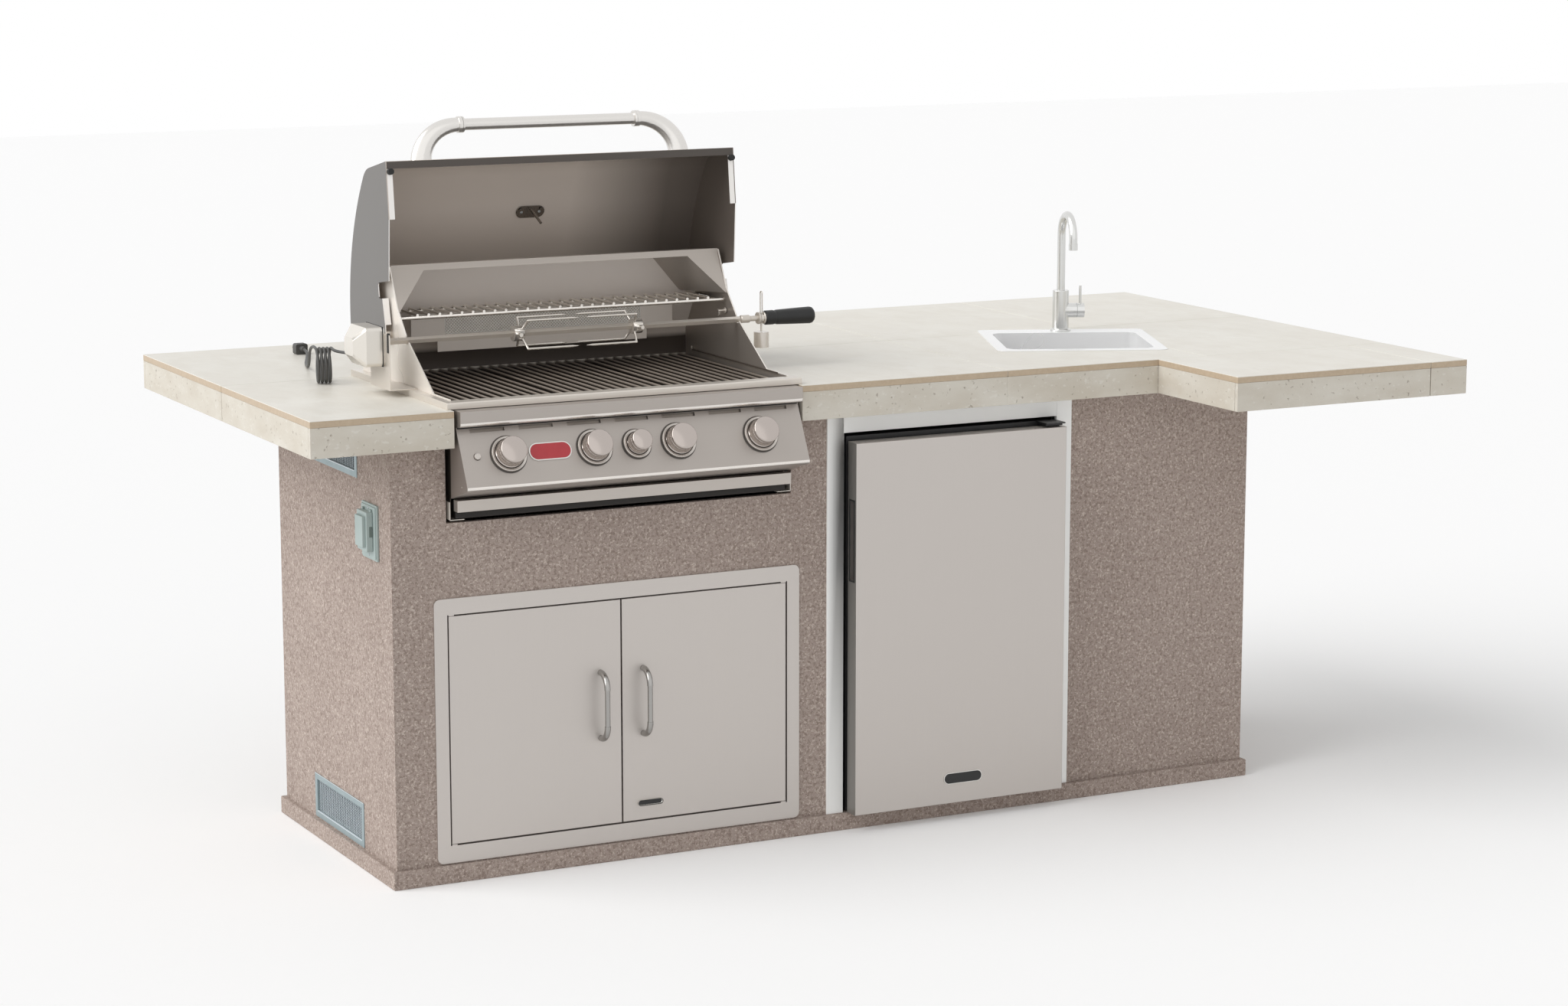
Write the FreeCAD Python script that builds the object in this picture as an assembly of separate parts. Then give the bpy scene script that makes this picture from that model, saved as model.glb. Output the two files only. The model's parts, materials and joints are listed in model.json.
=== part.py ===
import FreeCAD, Part
import math
import os

from FreeCAD import Rotation
from FreeCAD import Vector as V

# Outdoor kitchen island: stuccoed base with a tiled L-shaped counter, a built-in gas grill with a
# rotisserie, a bar sink with a faucet, double access doors and an undercounter fridge.
# Millimetres. Pieces are drawn from the front left corner of the walls at floor level: X runs
# right along the front, Y runs back, Z runs up. On saving they move so that the origin is the
# middle of the counter's plan on the floor.

# Island base
wall_length = 2074.0
wall_depth = 679.0
wall_sheet = 16.0
plinth_height = 38.0
plinth_proud = 11.0
counter_height = 994.0

# Counter
tile_thick = 14.0
tile_module = 511.0
tile_joint = 2.0
apron_height = 62.0
apron_thick = 10.0
overhang_left = 186.0
overhang_front = 55.0
overhang_right = 331.0
overhang_back = 367.0
bar_width = 609.0
bar_forward = 312.0
first_seam_x = 388.0
seam_y = 496.0

# Grill body
grill_centre_x = 514.0
notch_width = 788.0
notch_depth = 565.0
notch_wall_bottom = counter_height - 239.0
flange_lap = 8.0
flange_back = 519.0
flange_front = -37.0
flange_thick = 14.0
flange_seam_y = 88.0
landing_depth = 32.0
side_plate_gap = 10.5
side_plate_thick = 3.0
firebox_back = 492.0
firebox_floor = counter_height - 188.0
liner_sheet = 2.0
hood_top = counter_height + 255.0
hood_top_y = 325.0
foot_y = 85.0
notch_foot_y = 219.0
notch_foot_z = counter_height + 104.5
notch_brow_y = 237.0
notch_brow_z = counter_height + 119.0
hood_bend_y = 285.0
hood_bend_z = counter_height + 172.0
hood_panel_y = 440.0
hood_panel_low = counter_height + 146.0
hood_foot_z = counter_height + 62.0
gusset_width = 75.0
gusset_height = 81.0

# Cooking parts
grate_top = counter_height + 6.0
grate_rod = 5.0
grate_pitch = 22.5
grate_section_count = 3
burner_width = 58.0
burner_height = 26.0
burner_z = counter_height - 114.0
burner_pitch = 190.0
baffle_width = 150.0
baffle_rise = 22.0
baffle_base = counter_height - 64.0
ledge_width = 12.0
rack_front_y = 287.0
rack_depth = 108.0
rack_z = counter_height + 147.0
rack_rail = 4.0
rack_wire = 3.0
rack_wire_pitch = 25.0
rear_burner_face_y = 403.0
rear_burner_depth = 60.0
rear_burner_gap = 73.5
rear_burner_low = counter_height + 88.0
rear_burner_high = counter_height + 138.0
screen_margin = 77.0
screen_height = 40.0
shield_margin = 61.0
shield_height = 33.0

# Control panel and knobs
panel_reveal = 15.2
panel_sheet = 2.0
nose_front = -70.0
nose_low = counter_height - 34.0
slant_top_y = -44.0
slant_top_z = counter_height - 36.0
slant_low_y = -102.0
slant_low_z = counter_height - 151.0
panel_back_y = -12.0
panel_low_z = counter_height - 186.0
knob_edge = 101.8
inner_knob_offset = 95.0
knob_radius = 28.5
small_knob_radius = 22.5
knob_height = 38.0
bezel_radius = 38.0
small_bezel_radius = 31.0
bezel_thick = 8.0
stem_radius = 4.0
stem_fit = 0.05
button_edge = 33.8
button_radius = 7.5
button_travel = 3.0
slot_count = 7
slot_length = 75.0
slot_pitch = 107.0
slot_height = 7.0
manifold_radius = 10.5

# Drip tray
tray_front_y = -30.0
tray_low = counter_height - 213.0
tray_high = counter_height - 189.0
tray_reveal = 22.0
tray_length = 478.0
tray_sheet = 1.5
rail_low = counter_height - 232.0
rail_leg = 27.0

# Lid, drawn closed and saved open
lid_reveal = 1.0
lid_sheet = 2.0
lid_pin_y = 322.7
lid_pin_z = counter_height + 113.7
lid_pin_radius = 5.0
lid_open_angle = 98.8
lip_y = -30.5
lip_z = counter_height + 24.0
brow_y = -23.7
brow_z = counter_height + 146.4
crown_y = 105.0
crown_z = counter_height + 248.0
tail_y = 341.0
tail_z = counter_height + 306.0
brow_round = 26.0
rim_flange = 14.0
slot_width = 34.0
slot_top = counter_height + 121.0
handle_reach = 89.0
handle_inset = 103.0
handle_radius = 12.5
handle_standoff = 79.0
bumper_radius = 6.5
bumper_height = 9.5
dial_radius = 36.0
dial_thick = 14.0

# Rotisserie
spit_y = 228.0
spit_z = counter_height + 109.0
spit_side = 9.5
spit_spin = 25.0
bush_radius = 8.5
spit_tail = 23.0
grip_length = 115.0
grip_gap = 47.0
grip_small = 15.5
grip_large = 18.5
fork_left = -136.0
fork_right = 138.0
fork_reach = 128.0
fork_half = 30.0
fork_wire = 2.5
weight_radius = 16.5
weight_height = 34.0
weight_drop = 47.0
bracket_gap = 42.0
bracket_front = 172.0
bracket_depth = 112.0
bracket_high = counter_height + 130.0
bracket_sheet = 2.0
motor_front = 198.0
motor_depth = 94.0
motor_low = counter_height + 62.0
motor_high = counter_height + 144.0
motor_wall = 40.0
motor_taper = 22.0
motor_inset = 22.0

# Cord
cord_radius = 3.25
coil_radius = 35.5
coil_turns = 4
coil_pitch = 8.2
coil_heading = -14.0
coil_x = 22.0
coil_y = 437.0

# Sink and faucet
sink_back_from_bar = 4.0
sink_y = 309.0
sink_turn = -22.5
sink_width = 390.0
sink_depth = 368.0
bowl_width = 340.0
bowl_length = 284.0
bowl_front_rim = 25.0
bowl_drop = 150.0
bowl_round = 28.0
rim_thick = 1.5
drain_radius = 44.0
tail_radius = 19.0
trap_radius = 40.0
faucet_setback = 159.0
faucet_base = 24.0
faucet_body_radius = 19.0
faucet_body_height = 96.0
spout_radius = 9.5
spout_straight = 129.0
spout_arch = 51.0
spout_drop = 25.0
spout_turn = 16.0
valve_height = 48.0
valve_radius = 17.0
valve_length = 37.0
lever_cap = 17.0
lever_radius = 3.2
lever_length = 58.0

# Access doors
door_frame_x = 89.0
door_frame_z = 41.0
door_frame_width = 838.0
door_frame_height = 558.0
door_frame_round = 13.0
door_margin_side = 32.0
door_margin_low = 39.7
door_height = 481.3
door_thick = 18.0
door_gap = 3.0
frame_sheet = 3.0
door_lap = 12.0
door_stop_gap = 2.0
door_edge_round = 2.0
door_pin_radius = 3.0
door_pin_inset = 6.0
door_pin_depth = 4.5
pull_offset = 49.0
pull_height = 155.0
pull_radius = 7.0
pull_standoff = 36.0
pull_centre_z = 340.0

# Fridge
bay_spacing = 67.0
surround_width = 610.0
post_left = 40.0
post_right = 39.0
header_height = 42.0
surround_proud = 4.0
fridge_front = -50.0
fridge_door_thick = 38.0
fridge_gap = 1.0
fridge_door_gap_left = 6.0
fridge_door_low = 40.0
fridge_door_drop = 59.0
cabinet_depth = 560.0
cabinet_wall = 25.0
cabinet_inset = 8.0
cabinet_low = 42.0
cabinet_drop = 50.0
gasket_width = 14.0
pocket_low = 557.0
pocket_high = 733.0

# Left wall fittings
outlet_y = 67.0
outlet_width = 85.0
outlet_drop = 244.0
outlet_height = 116.0
vent_y = 187.0
vent_width = 299.0
low_vent_z = 41.0
low_vent_height = 97.0
high_vent_drop = 88.0
high_vent_height = 84.0
vent_lap = 12.0
vent_bar_count = 24

# Clearances
seat_gap = 0.5
running_gap = 0.05
swing_gap = 1.0

# Sizes worked out from the ones above
core_top = counter_height - tile_thick
wall_top = core_top - apron_height
counter_left = -overhang_left
counter_right = wall_length + overhang_right
counter_front = -overhang_front
counter_back = wall_depth + overhang_back
bar_left = counter_right - bar_width
bar_front = counter_front - bar_forward
origin = V((counter_left + counter_right) / 2, (bar_front + counter_back) / 2, 0)
sink_x = bar_left - sink_back_from_bar
notch_left = grill_centre_x - notch_width / 2
notch_right = grill_centre_x + notch_width / 2
notch_back = counter_front + notch_depth
flange_top = counter_height + flange_thick
flange_width = notch_width + 2 * flange_lap
side_plate_span = notch_width - 2 * side_plate_gap
panel_width = flange_width - 2 * panel_reveal
tray_width = flange_width - 2 * tray_reveal
lid_width = flange_width - 2 * lid_reveal
knob_offset = panel_width / 2 - knob_edge
button_offset = button_edge - panel_width / 2
handle_foot_span = lid_width - 2 * handle_inset
handle_span = handle_foot_span - 2 * handle_reach
bracket_x = grill_centre_x - flange_width / 2 - bracket_gap
spit_left = bracket_x - spit_tail
grip_left = grill_centre_x + flange_width / 2 + grip_gap
spit_right = grip_left + grip_length
fork_left_x = grill_centre_x + fork_left
fork_right_x = grill_centre_x + fork_right
plate_outer = side_plate_span / 2
plate_inner = plate_outer - side_plate_thick
rear_burner_width = 2 * (plate_inner - rear_burner_gap)
screen_width = rear_burner_width - 2 * screen_margin
shield_width = rear_burner_width - 2 * shield_margin
slant = V(0, slant_low_y - slant_top_y, slant_low_z - slant_top_z)
slant.normalize()
outward = V(0, slant.z, -slant.y)
knob_row_y = (slant_top_y + slant_low_y) / 2
knob_row_z = (slant_top_z + slant_low_z) / 2
door_left = door_frame_x + door_margin_side
door_right = door_frame_x + door_frame_width - door_margin_side
door_low = door_frame_z + door_margin_low
door_high = door_low + door_height
door_middle = (door_left + door_right) / 2
door_front = -frame_sheet
door_back = door_front + door_thick
surround_x = door_frame_x + door_frame_width + bay_spacing
fridge_door_high = wall_top - fridge_door_drop
cabinet_high = wall_top - cabinet_drop
high_vent_z = wall_top - high_vent_drop
outlet_z = wall_top - outlet_drop
surround_inner_left = surround_x + post_left
surround_inner_right = surround_x + surround_width - post_right
bar_columns = [bar_left - tile_joint / 2, counter_right + tile_joint / 2]
if bar_width > tile_module + tile_thick:
    bar_columns.insert(1, bar_left + tile_module)
across = V(1, 0, 0)
inward = V(0, 1, 0)
up = V(0, 0, 1)


def block(x0, x1, y0, y1, z0, z1):
    """Box between two corners."""
    return Part.makeBox(x1 - x0, y1 - y0, z1 - z0, V(x0, y0, z0))


def rod(start, end, radius):
    """Round bar between two points."""
    return Part.makeCylinder(radius, (end - start).Length, start, end - start)


def chain(points):
    """Closed wire through points; a pair of points is an arc through the first to the second."""
    edges = []
    here = points[0]
    for step in points[1:] + [points[0]]:
        if isinstance(step, tuple):
            edges.append(Part.Arc(here, step[0], step[1]).toShape())
            here = step[1]
        elif (step - here).Length > 1e-6:
            edges.append(Part.makeLine(here, step))
            here = step
    return Part.Wire(edges)


def at_x(steps, x):
    """Lift (y, z) steps onto the plane of one x."""
    lifted = []
    for step in steps:
        if isinstance(step[0], tuple):
            lifted.append((V(x, *step[0]), V(x, *step[1])))
        else:
            lifted.append(V(x, *step))
    return lifted


def extrude_x(steps, x0, x1):
    """Outline in (y, z) drawn out from x0 to x1."""
    return Part.Face(chain(at_x(steps, x0))).extrude(V(x1 - x0, 0, 0))


def extrude_z(corners, z0, z1):
    """Outline in (x, y) drawn out from z0 to z1."""
    return Part.Face(chain([V(x, y, z0) for x, y in corners])).extrude(V(0, 0, z1 - z0))


def rounded_plate(width, length, radius, z0, z1):
    """Plate centred on the origin with round corners."""
    plate = block(-width / 2, width / 2, -length / 2, length / 2, z0, z1)
    upright = [e for e in plate.Edges if abs(e.tangentAt(e.FirstParameter).z) > 0.9]
    return plate.makeFillet(radius, upright)


def round_edges(shape, radius, test):
    """Round the edges that a test on their middle point picks."""
    picked = [e for e in shape.Edges if test(e.valueAt((e.FirstParameter + e.LastParameter) / 2), e)]
    return shape.makeFillet(radius, picked)


def join(*shapes):
    """One solid of several that touch or overlap."""
    return shapes[0].fuse(list(shapes[1:])).removeSplitter()


def group(shapes):
    """Separate solids kept in one piece file."""
    return Part.makeCompound(list(shapes))


def spaced(count, pitch):
    """Positions of a row centred on nought."""
    return [(i - (count - 1) / 2) * pitch for i in range(count)]


def mirrored(shape, x=None):
    """The same piece on the other side of the grill's middle, or of another x."""
    return shape.mirror(V(grill_centre_x if x is None else x, 0, 0), across)


# The bent tube below serves cords, drain pipes and the spout

def bent_route(points, radius=None):
    """Straight runs joined by tangent arcs; each arc is as large as its two runs allow."""
    edges = []
    radii = []
    here = points[0]
    for before, corner, after in zip(points, points[1:], points[2:]):
        a = (before - corner).normalize()
        b = (after - corner).normalize()
        half_turn = (math.pi - a.getAngle(b)) / 2
        shorter = min((before - corner).Length, (after - corner).Length)
        bend = radius or 0.45 * shorter / math.tan(half_turn)
        reach = bend * math.tan(half_turn)
        start = corner + a * reach
        end = corner + b * reach
        bisector = (a + b).normalize()
        middle = corner + bisector * (bend / math.cos(half_turn) - bend)
        if (start - here).Length > 1e-6:
            edges.append(Part.makeLine(here, start))
        edges.append(Part.Arc(start, middle, end).toShape())
        radii.append(bend)
        here = end
    edges.append(Part.makeLine(here, points[-1]))
    return Part.Wire(edges), radii


def sweep(wire, radius):
    """Round tube along a smooth wire."""
    first = wire.OrderedEdges[0]
    start = first.valueAt(first.FirstParameter)
    heading = first.tangentAt(first.FirstParameter)
    if first.Orientation == "Reversed":
        start = first.valueAt(first.LastParameter)
        heading = heading * -1
    ring = Part.Wire(Part.makeCircle(radius, start, heading))
    pipe = Part.BRepOffsetAPI.MakePipeShell(wire)
    pipe.add(ring)
    pipe.build()
    pipe.makeSolid()
    return pipe.shape()


def cord_run(name, points):
    """A free stretch of cord, with its bend radii and its volume against section times length."""
    wire, radii = bent_route(points)
    tube = sweep(wire, cord_radius)
    ratio = tube.Volume / (math.pi * cord_radius ** 2 * wire.Length)
    print(name, "length", round(wire.Length), "radii", [round(r) for r in radii], "volume ratio",
          round(ratio, 4))
    return tube


# Island base: plinth, four wall boards, welded tube frame with the partition

def make_plinth():
    return block(-plinth_proud, wall_length + plinth_proud,
                 -plinth_proud, wall_depth + plinth_proud, 0, plinth_height)


def door_surround(margin, y0, y1):
    """Box round both access doors, larger than them by a margin on all four sides."""
    return block(door_left - margin, door_right + margin, y0, y1, door_low - margin,
                 door_high + margin)


def make_front_wall():
    """Board with the grill notch, the access opening and the fridge opening."""
    wall = block(0, wall_length, 0, wall_sheet, plinth_height, wall_top)
    grill = block(notch_left, notch_right, -1, wall_sheet + 1, notch_wall_bottom, wall_top + 1)
    access = door_surround(door_gap + frame_sheet, -1, wall_sheet + 1)
    fridge = block(surround_x, surround_x + surround_width, -1, wall_sheet + 1,
                   plinth_height - 1, wall_top + 1)
    return wall.cut([grill, access, fridge])


def vent_holes():
    """Cutters for the two side vents."""
    holes = []
    for z, height in ((low_vent_z, low_vent_height), (high_vent_z, high_vent_height)):
        holes.append(block(-1, wall_sheet + 1, vent_y + vent_lap, vent_y + vent_width - vent_lap,
                           z + vent_lap, z + height - vent_lap))
    return holes


def make_left_wall():
    wall = block(0, wall_sheet, wall_sheet, wall_depth - wall_sheet, plinth_height, wall_top)
    outlet = block(-1, wall_sheet + 1, outlet_y + vent_lap, outlet_y + outlet_width - vent_lap,
                   outlet_z + vent_lap, outlet_z + outlet_height - vent_lap)
    return wall.cut(vent_holes() + [outlet])


def make_right_wall():
    return block(wall_length - wall_sheet, wall_length, wall_sheet, wall_depth - wall_sheet,
                 plinth_height, wall_top)


def make_back_wall():
    """Board with the hole that the drain leaves by."""
    wall = block(0, wall_length, wall_depth - wall_sheet, wall_depth, plinth_height, wall_top)
    drain = rod(V(sink_drain.x, wall_depth - wall_sheet - 1, trap_arm_z),
                V(sink_drain.x, wall_depth + 1, trap_arm_z), tail_radius + swing_gap)
    return wall.cut(drain)


frame_tube = 30.0
partition_thick = 12.0
partition_x = (door_frame_x + door_frame_width + surround_x) / 2 - partition_thick / 2


def make_stud_frame():
    """Square tube posts and rails inside the walls, and the board between the two bays."""
    near = wall_sheet
    far = wall_depth - wall_sheet - frame_tube
    left = wall_sheet
    right = wall_length - wall_sheet - frame_tube
    beside_board = partition_x + partition_thick
    beside_fridge = surround_x + surround_width
    posts = []
    for x in (left, beside_board, beside_fridge, right):
        for y in (near, far):
            posts.append(block(x, x + frame_tube, y, y + frame_tube, plinth_height, wall_top))
    rails = []
    for x0, x1 in ((left + frame_tube, partition_x), (beside_board + frame_tube, beside_fridge),
                   (beside_fridge + frame_tube, right)):
        rails.append(block(x0, x1, far, far + frame_tube, wall_top - frame_tube, wall_top))
        rails.append(block(x0, x1, far, far + frame_tube, plinth_height, plinth_height + frame_tube))
    for x in (left, right):
        rails.append(block(x, x + frame_tube, near + frame_tube, far, wall_top - frame_tube, wall_top))
    board = block(partition_x, beside_board, near, wall_depth - wall_sheet, plinth_height, wall_top)
    return group(posts + rails + [board])


# Counter: cement board core, top tiles and apron tiles

def plan_outline(inset):
    """The L of the counter, drawn in from its outer edges."""
    left = counter_left + inset
    right = counter_right - inset
    front = counter_front + inset
    back = counter_back - inset
    return [(left, front), (bar_left + inset, front), (bar_left + inset, bar_front + inset),
            (right, bar_front + inset), (right, back), (left, back)]


def notch_cut(z0, z1):
    """Cutter for the grill notch, open at the front edge."""
    return block(notch_left, notch_right, bar_front, notch_back, z0 - 1, z1 + 1)


def place_on_sink(shape):
    """Move a piece drawn about the sink's middle at z nought to its place on the counter."""
    placed = shape.copy()
    placed.rotate(V(0, 0, 0), up, sink_turn)
    placed.translate(V(sink_x, sink_y, counter_height))
    return placed


sink_hole_gap = 6.0


def sink_cut():
    """Cutter for the sink: the bowl with room round it, and the faucet shank."""
    bowl = rounded_plate(bowl_width + 2 * sink_hole_gap, bowl_length + 2 * sink_hole_gap,
                         bowl_round + sink_hole_gap, -tile_thick - apron_height - 1, 1)
    bowl.translate(V(0, bowl_shift, 0))
    shank = rod(V(0, faucet_setback, -tile_thick - apron_height - 1), V(0, faucet_setback, 1),
                spout_radius + swing_gap)
    return [place_on_sink(bowl), place_on_sink(shank)]


bowl_shift = -sink_depth / 2 + bowl_front_rim + bowl_length / 2


def make_counter_core():
    core = extrude_z(plan_outline(apron_thick), wall_top, core_top)
    return core.cut([notch_cut(wall_top, core_top)] + sink_cut())


def seams_between(low, high):
    """Places of the tile joints that fall well inside a stretch of the counter."""
    count = int((high - first_seam_x) // tile_module) + 1
    places = [first_seam_x + i * tile_module for i in range(count)]
    return [x for x in places if low + tile_thick < x < high - tile_thick]


def make_counter_tiles():
    """Square tiles laid to the module, cut at the edges, round the grill and round the sink."""
    sheet = extrude_z(plan_outline(0), core_top, counter_height)
    sheet = sheet.cut([notch_cut(core_top, counter_height)] + sink_cut())
    half = tile_joint / 2
    columns = [counter_left - half] + seams_between(counter_left, counter_right - tile_module / 2)
    columns.append(counter_right + half)
    cells = []
    for x0, x1 in zip(columns, columns[1:]):
        cells.append((x0, x1, counter_front - half, seam_y))
        cells.append((x0, x1, seam_y, counter_back + half))
    for x0, x1 in zip(bar_columns, bar_columns[1:]):
        cells.append((x0, x1, bar_front - half, counter_front))
    tiles = []
    for x0, x1, y0, y1 in cells:
        cell = block(x0 + half, x1 - half, y0 + half, y1 - half, core_top - 1, counter_height + 1)
        tiles += sheet.common(cell).Solids
    return group(tiles)


def make_apron_tiles():
    """Edge tiles on every outer face of the core, split at the same seams as the top."""
    runs_x = [
        (counter_front, counter_left, notch_left, []),
        (counter_front, notch_right, bar_left + apron_thick, seams_between(notch_right, bar_left)),
        (bar_front, bar_left, counter_right, bar_columns[1:-1]),
        (counter_back - apron_thick, counter_left, counter_right,
         seams_between(counter_left, counter_right - tile_module / 2))]
    runs_y = [
        (counter_left, counter_front, counter_back, [seam_y]),
        (bar_left, bar_front, counter_front, []),
        (counter_right - apron_thick, bar_front, counter_back, [counter_front, seam_y])]
    tiles = []
    half = tile_joint / 2
    for y, x0, x1, seams in runs_x:
        ends = [x0 - half] + seams + [x1 + half]
        for a, b in zip(ends, ends[1:]):
            tiles.append(block(a + half, b - half, y, y + apron_thick, wall_top, core_top))
    for x, y0, y1, seams in runs_y:
        ends = [y0 + apron_thick] + seams + [y1 - apron_thick]
        if x == bar_left:
            ends[-1] = y1
        for a, b in zip(ends, ends[1:]):
            tiles.append(block(x, x + apron_thick, a + half, b - half, wall_top, core_top))
    return group(tiles)


# Grill body: trim on the counter, firebox, side plates, rear hood

def make_grill_trim():
    """Side and back flanges, and the front landing with its two arms."""
    outer = flange_width / 2
    arm = outer - plate_outer
    low = counter_height
    left = block(-outer, -outer + arm, flange_seam_y + seat_gap, flange_back, low, flange_top)
    right = block(outer - arm, outer, flange_seam_y + seat_gap, flange_back, low, flange_top)
    rear = block(-outer + arm + seat_gap, outer - arm - seat_gap, firebox_back + seat_gap,
                 flange_back, low, flange_top)
    front = block(-outer, outer, flange_front, flange_seam_y, low, flange_top)
    well = block(-outer + arm, outer - arm, flange_front + landing_depth, flange_seam_y + 1,
                 low - 1, flange_top + 1)
    front = front.cut(well)
    front = round_edges(front, 3.0, lambda p, e: abs(p.y - flange_front) < 0.1
                        and abs(p.z - flange_top) < 0.1)
    pieces = [left, right, rear, front]
    for piece in pieces:
        piece.translate(V(grill_centre_x, 0, 0))
    return group(pieces)


firebox_front = flange_front + landing_depth


def make_firebox():
    """Open tub with ledges for the grates and baffles, a grease opening, and the tray's L rails."""
    wide = plate_inner
    sheet = liner_sheet
    tub = block(-wide, wide, firebox_front, firebox_back, firebox_floor, counter_height)
    hollow = block(-wide + sheet, wide - sheet, firebox_front + sheet, firebox_back - sheet,
                   firebox_floor + sheet, counter_height + 1)
    drain = block(-wide + 120, wide - 120, firebox_front + 110, firebox_back - 110,
                  firebox_floor - 1, firebox_floor + sheet + 1)
    tub = tub.cut([hollow, drain])
    inlets = [rod(V(x, firebox_front - 1, burner_z), V(x, firebox_front + sheet + 1, burner_z),
                  venturi_radius
                  + seat_gap) for x in spaced(4, burner_pitch)]
    tub = tub.cut(inlets)
    ledges = []
    for z in (baffle_base, grate_top - 2 * grate_rod):
        for y0, y1 in ((firebox_front + sheet, firebox_front + sheet + ledge_width),
                       (firebox_back - sheet - ledge_width, firebox_back - sheet)):
            ledges.append(block(-wide + sheet, wide - sheet, y0, y1, z - sheet, z))
    tub = join(tub, *ledges)
    tub.translate(V(grill_centre_x, 0, 0))
    rails = []
    rail_outer = plate_inner
    for side in (-1, 1):
        leg = block(-rail_outer, -rail_outer + sheet, 10, firebox_back - 12, rail_low, firebox_floor)
        foot = block(-rail_outer, -rail_outer + rail_leg, 10, firebox_back - 12, rail_low,
                     rail_low + sheet)
        rail = join(leg, foot)
        if side > 0:
            rail = rail.mirror(V(0, 0, 0), across)
        rail.translate(V(grill_centre_x, 0, 0))
        rails.append(rail)
    return group([tub] + rails)


venturi_radius = 12.0


def make_side_plates():
    """Sloped plates that carry the lid on a pin each, notched for the spit."""
    low = baffle_base
    steps = [(firebox_front, low), (firebox_front, flange_top + 2), (foot_y, flange_top + 2),
             (notch_foot_y, notch_foot_z), (notch_brow_y, notch_brow_z), (hood_bend_y, hood_bend_z),
             (hood_top_y, hood_top - liner_sheet), (hood_panel_y, hood_top - liner_sheet - 12),
             (firebox_back, hood_foot_z + 4), (firebox_back, low)]
    plate = extrude_x(steps, grill_centre_x - plate_outer, grill_centre_x - plate_inner)
    throat = spit_side * 0.75 + swing_gap
    seat = rod(V(0, spit_y, spit_z), V(grill_centre_x, spit_y, spit_z), throat)
    mouth = block(0, grill_centre_x, spit_y - throat, spit_y + throat, spit_z, hood_top)
    pin_hole = rod(V(0, lid_pin_y, lid_pin_z), V(grill_centre_x, lid_pin_y, lid_pin_z), lid_pin_radius)
    plate = plate.cut([seat, mouth, pin_hole])
    reach = lid_width / 2 + 3
    shank = rod(V(grill_centre_x - reach, lid_pin_y, lid_pin_z),
                V(grill_centre_x - plate_inner + 3, lid_pin_y, lid_pin_z), lid_pin_radius)
    head = rod(V(grill_centre_x - plate_inner, lid_pin_y, lid_pin_z),
               V(grill_centre_x - plate_inner + 3, lid_pin_y, lid_pin_z), lid_pin_radius + 3)
    pin = join(shank, head)
    return group([plate, pin, mirrored(plate), mirrored(pin)])


def make_rear_hood():
    """Back panel with a folded top lip, corner gussets and slanted cheeks, and the back wall."""
    wide = plate_inner
    sheet = liner_sheet
    x0 = grill_centre_x - wide
    x1 = grill_centre_x + wide
    roof_back = hood_top - 12
    fold = [(hood_top_y, hood_top - 14), (hood_top_y, hood_top), (hood_panel_y, roof_back),
            (hood_panel_y, hood_panel_low), (firebox_back, hood_foot_z), (firebox_back, flange_top - 8),
            (firebox_back - sheet, flange_top - 8), (firebox_back - sheet, hood_foot_z - sheet),
            (hood_panel_y - sheet, hood_panel_low - sheet), (hood_panel_y - sheet, roof_back - sheet),
            (hood_top_y + sheet, hood_top - sheet), (hood_top_y + sheet, hood_top - 14)]
    shell = extrude_x(fold, x0, x1)
    top = V(x0, hood_top_y, hood_top - 12)
    inner = V(x0 + gusset_width, hood_top_y, hood_top - 12)
    run = (hood_bend_y - hood_top_y) / (hood_top - 12 - hood_bend_z)
    foot = V(x0, hood_top_y + run * gusset_height, hood_top - 12 - gusset_height)
    gusset = Part.Face(Part.makePolygon([top, inner, foot, top])).extrude(V(0, sheet, 0))
    back_in = V(inner.x + 40, hood_panel_y - sheet, roof_back - sheet)
    back_low = V(foot.x + 40, hood_panel_y - sheet, hood_panel_low + 8)
    cheek = Part.Face(Part.makePolygon([inner, back_in, back_low, inner])).extrude(V(-sheet, 0, 0))
    foot_in = foot + across * sheet
    skirt = Part.Face(Part.makePolygon([inner, back_low, foot_in, inner])).extrude(V(-sheet, 0, 0))
    corner = join(gusset, cheek, skirt)
    return join(shell, corner, mirrored(corner))


# Cooking parts: rear burner, warming rack, grates, baffles, burners, gas manifold

def make_rear_burner():
    """Burner box with a recessed wire screen window, and the shield plate under it."""
    half = rear_burner_width / 2
    face = rear_burner_face_y
    middle = (rear_burner_low + rear_burner_high) / 2
    box = block(-half, half, face, face + 3, rear_burner_low, rear_burner_high)
    body = block(-screen_width / 2 - 12, screen_width / 2 + 12, face + 3,
                 face + 3 + rear_burner_depth - 26,
                 rear_burner_low, rear_burner_high)
    window = block(-screen_width / 2, screen_width / 2, face - 1, face + 12,
                   middle - screen_height / 2, middle + screen_height / 2)
    box = join(box, body).cut(window)
    screen = block(-screen_width / 2, screen_width / 2, face + 2, face + 3,
                   middle - screen_height / 2, middle + screen_height / 2)
    shield = block(-shield_width / 2, shield_width / 2, face + 3, face + 4.5,
                   rear_burner_low - shield_height, rear_burner_low)
    arms = [block(x - 10, x + 10, face + 4.5, firebox_back - liner_sheet,
                  rear_burner_low - shield_height, rear_burner_low - shield_height + 2) for x in (-200,
                                                                                                  200)]
    pieces = [box, screen, join(shield, *arms)]
    for piece in pieces:
        piece.translate(V(grill_centre_x, 0, 0))
    return group(pieces)


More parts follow.
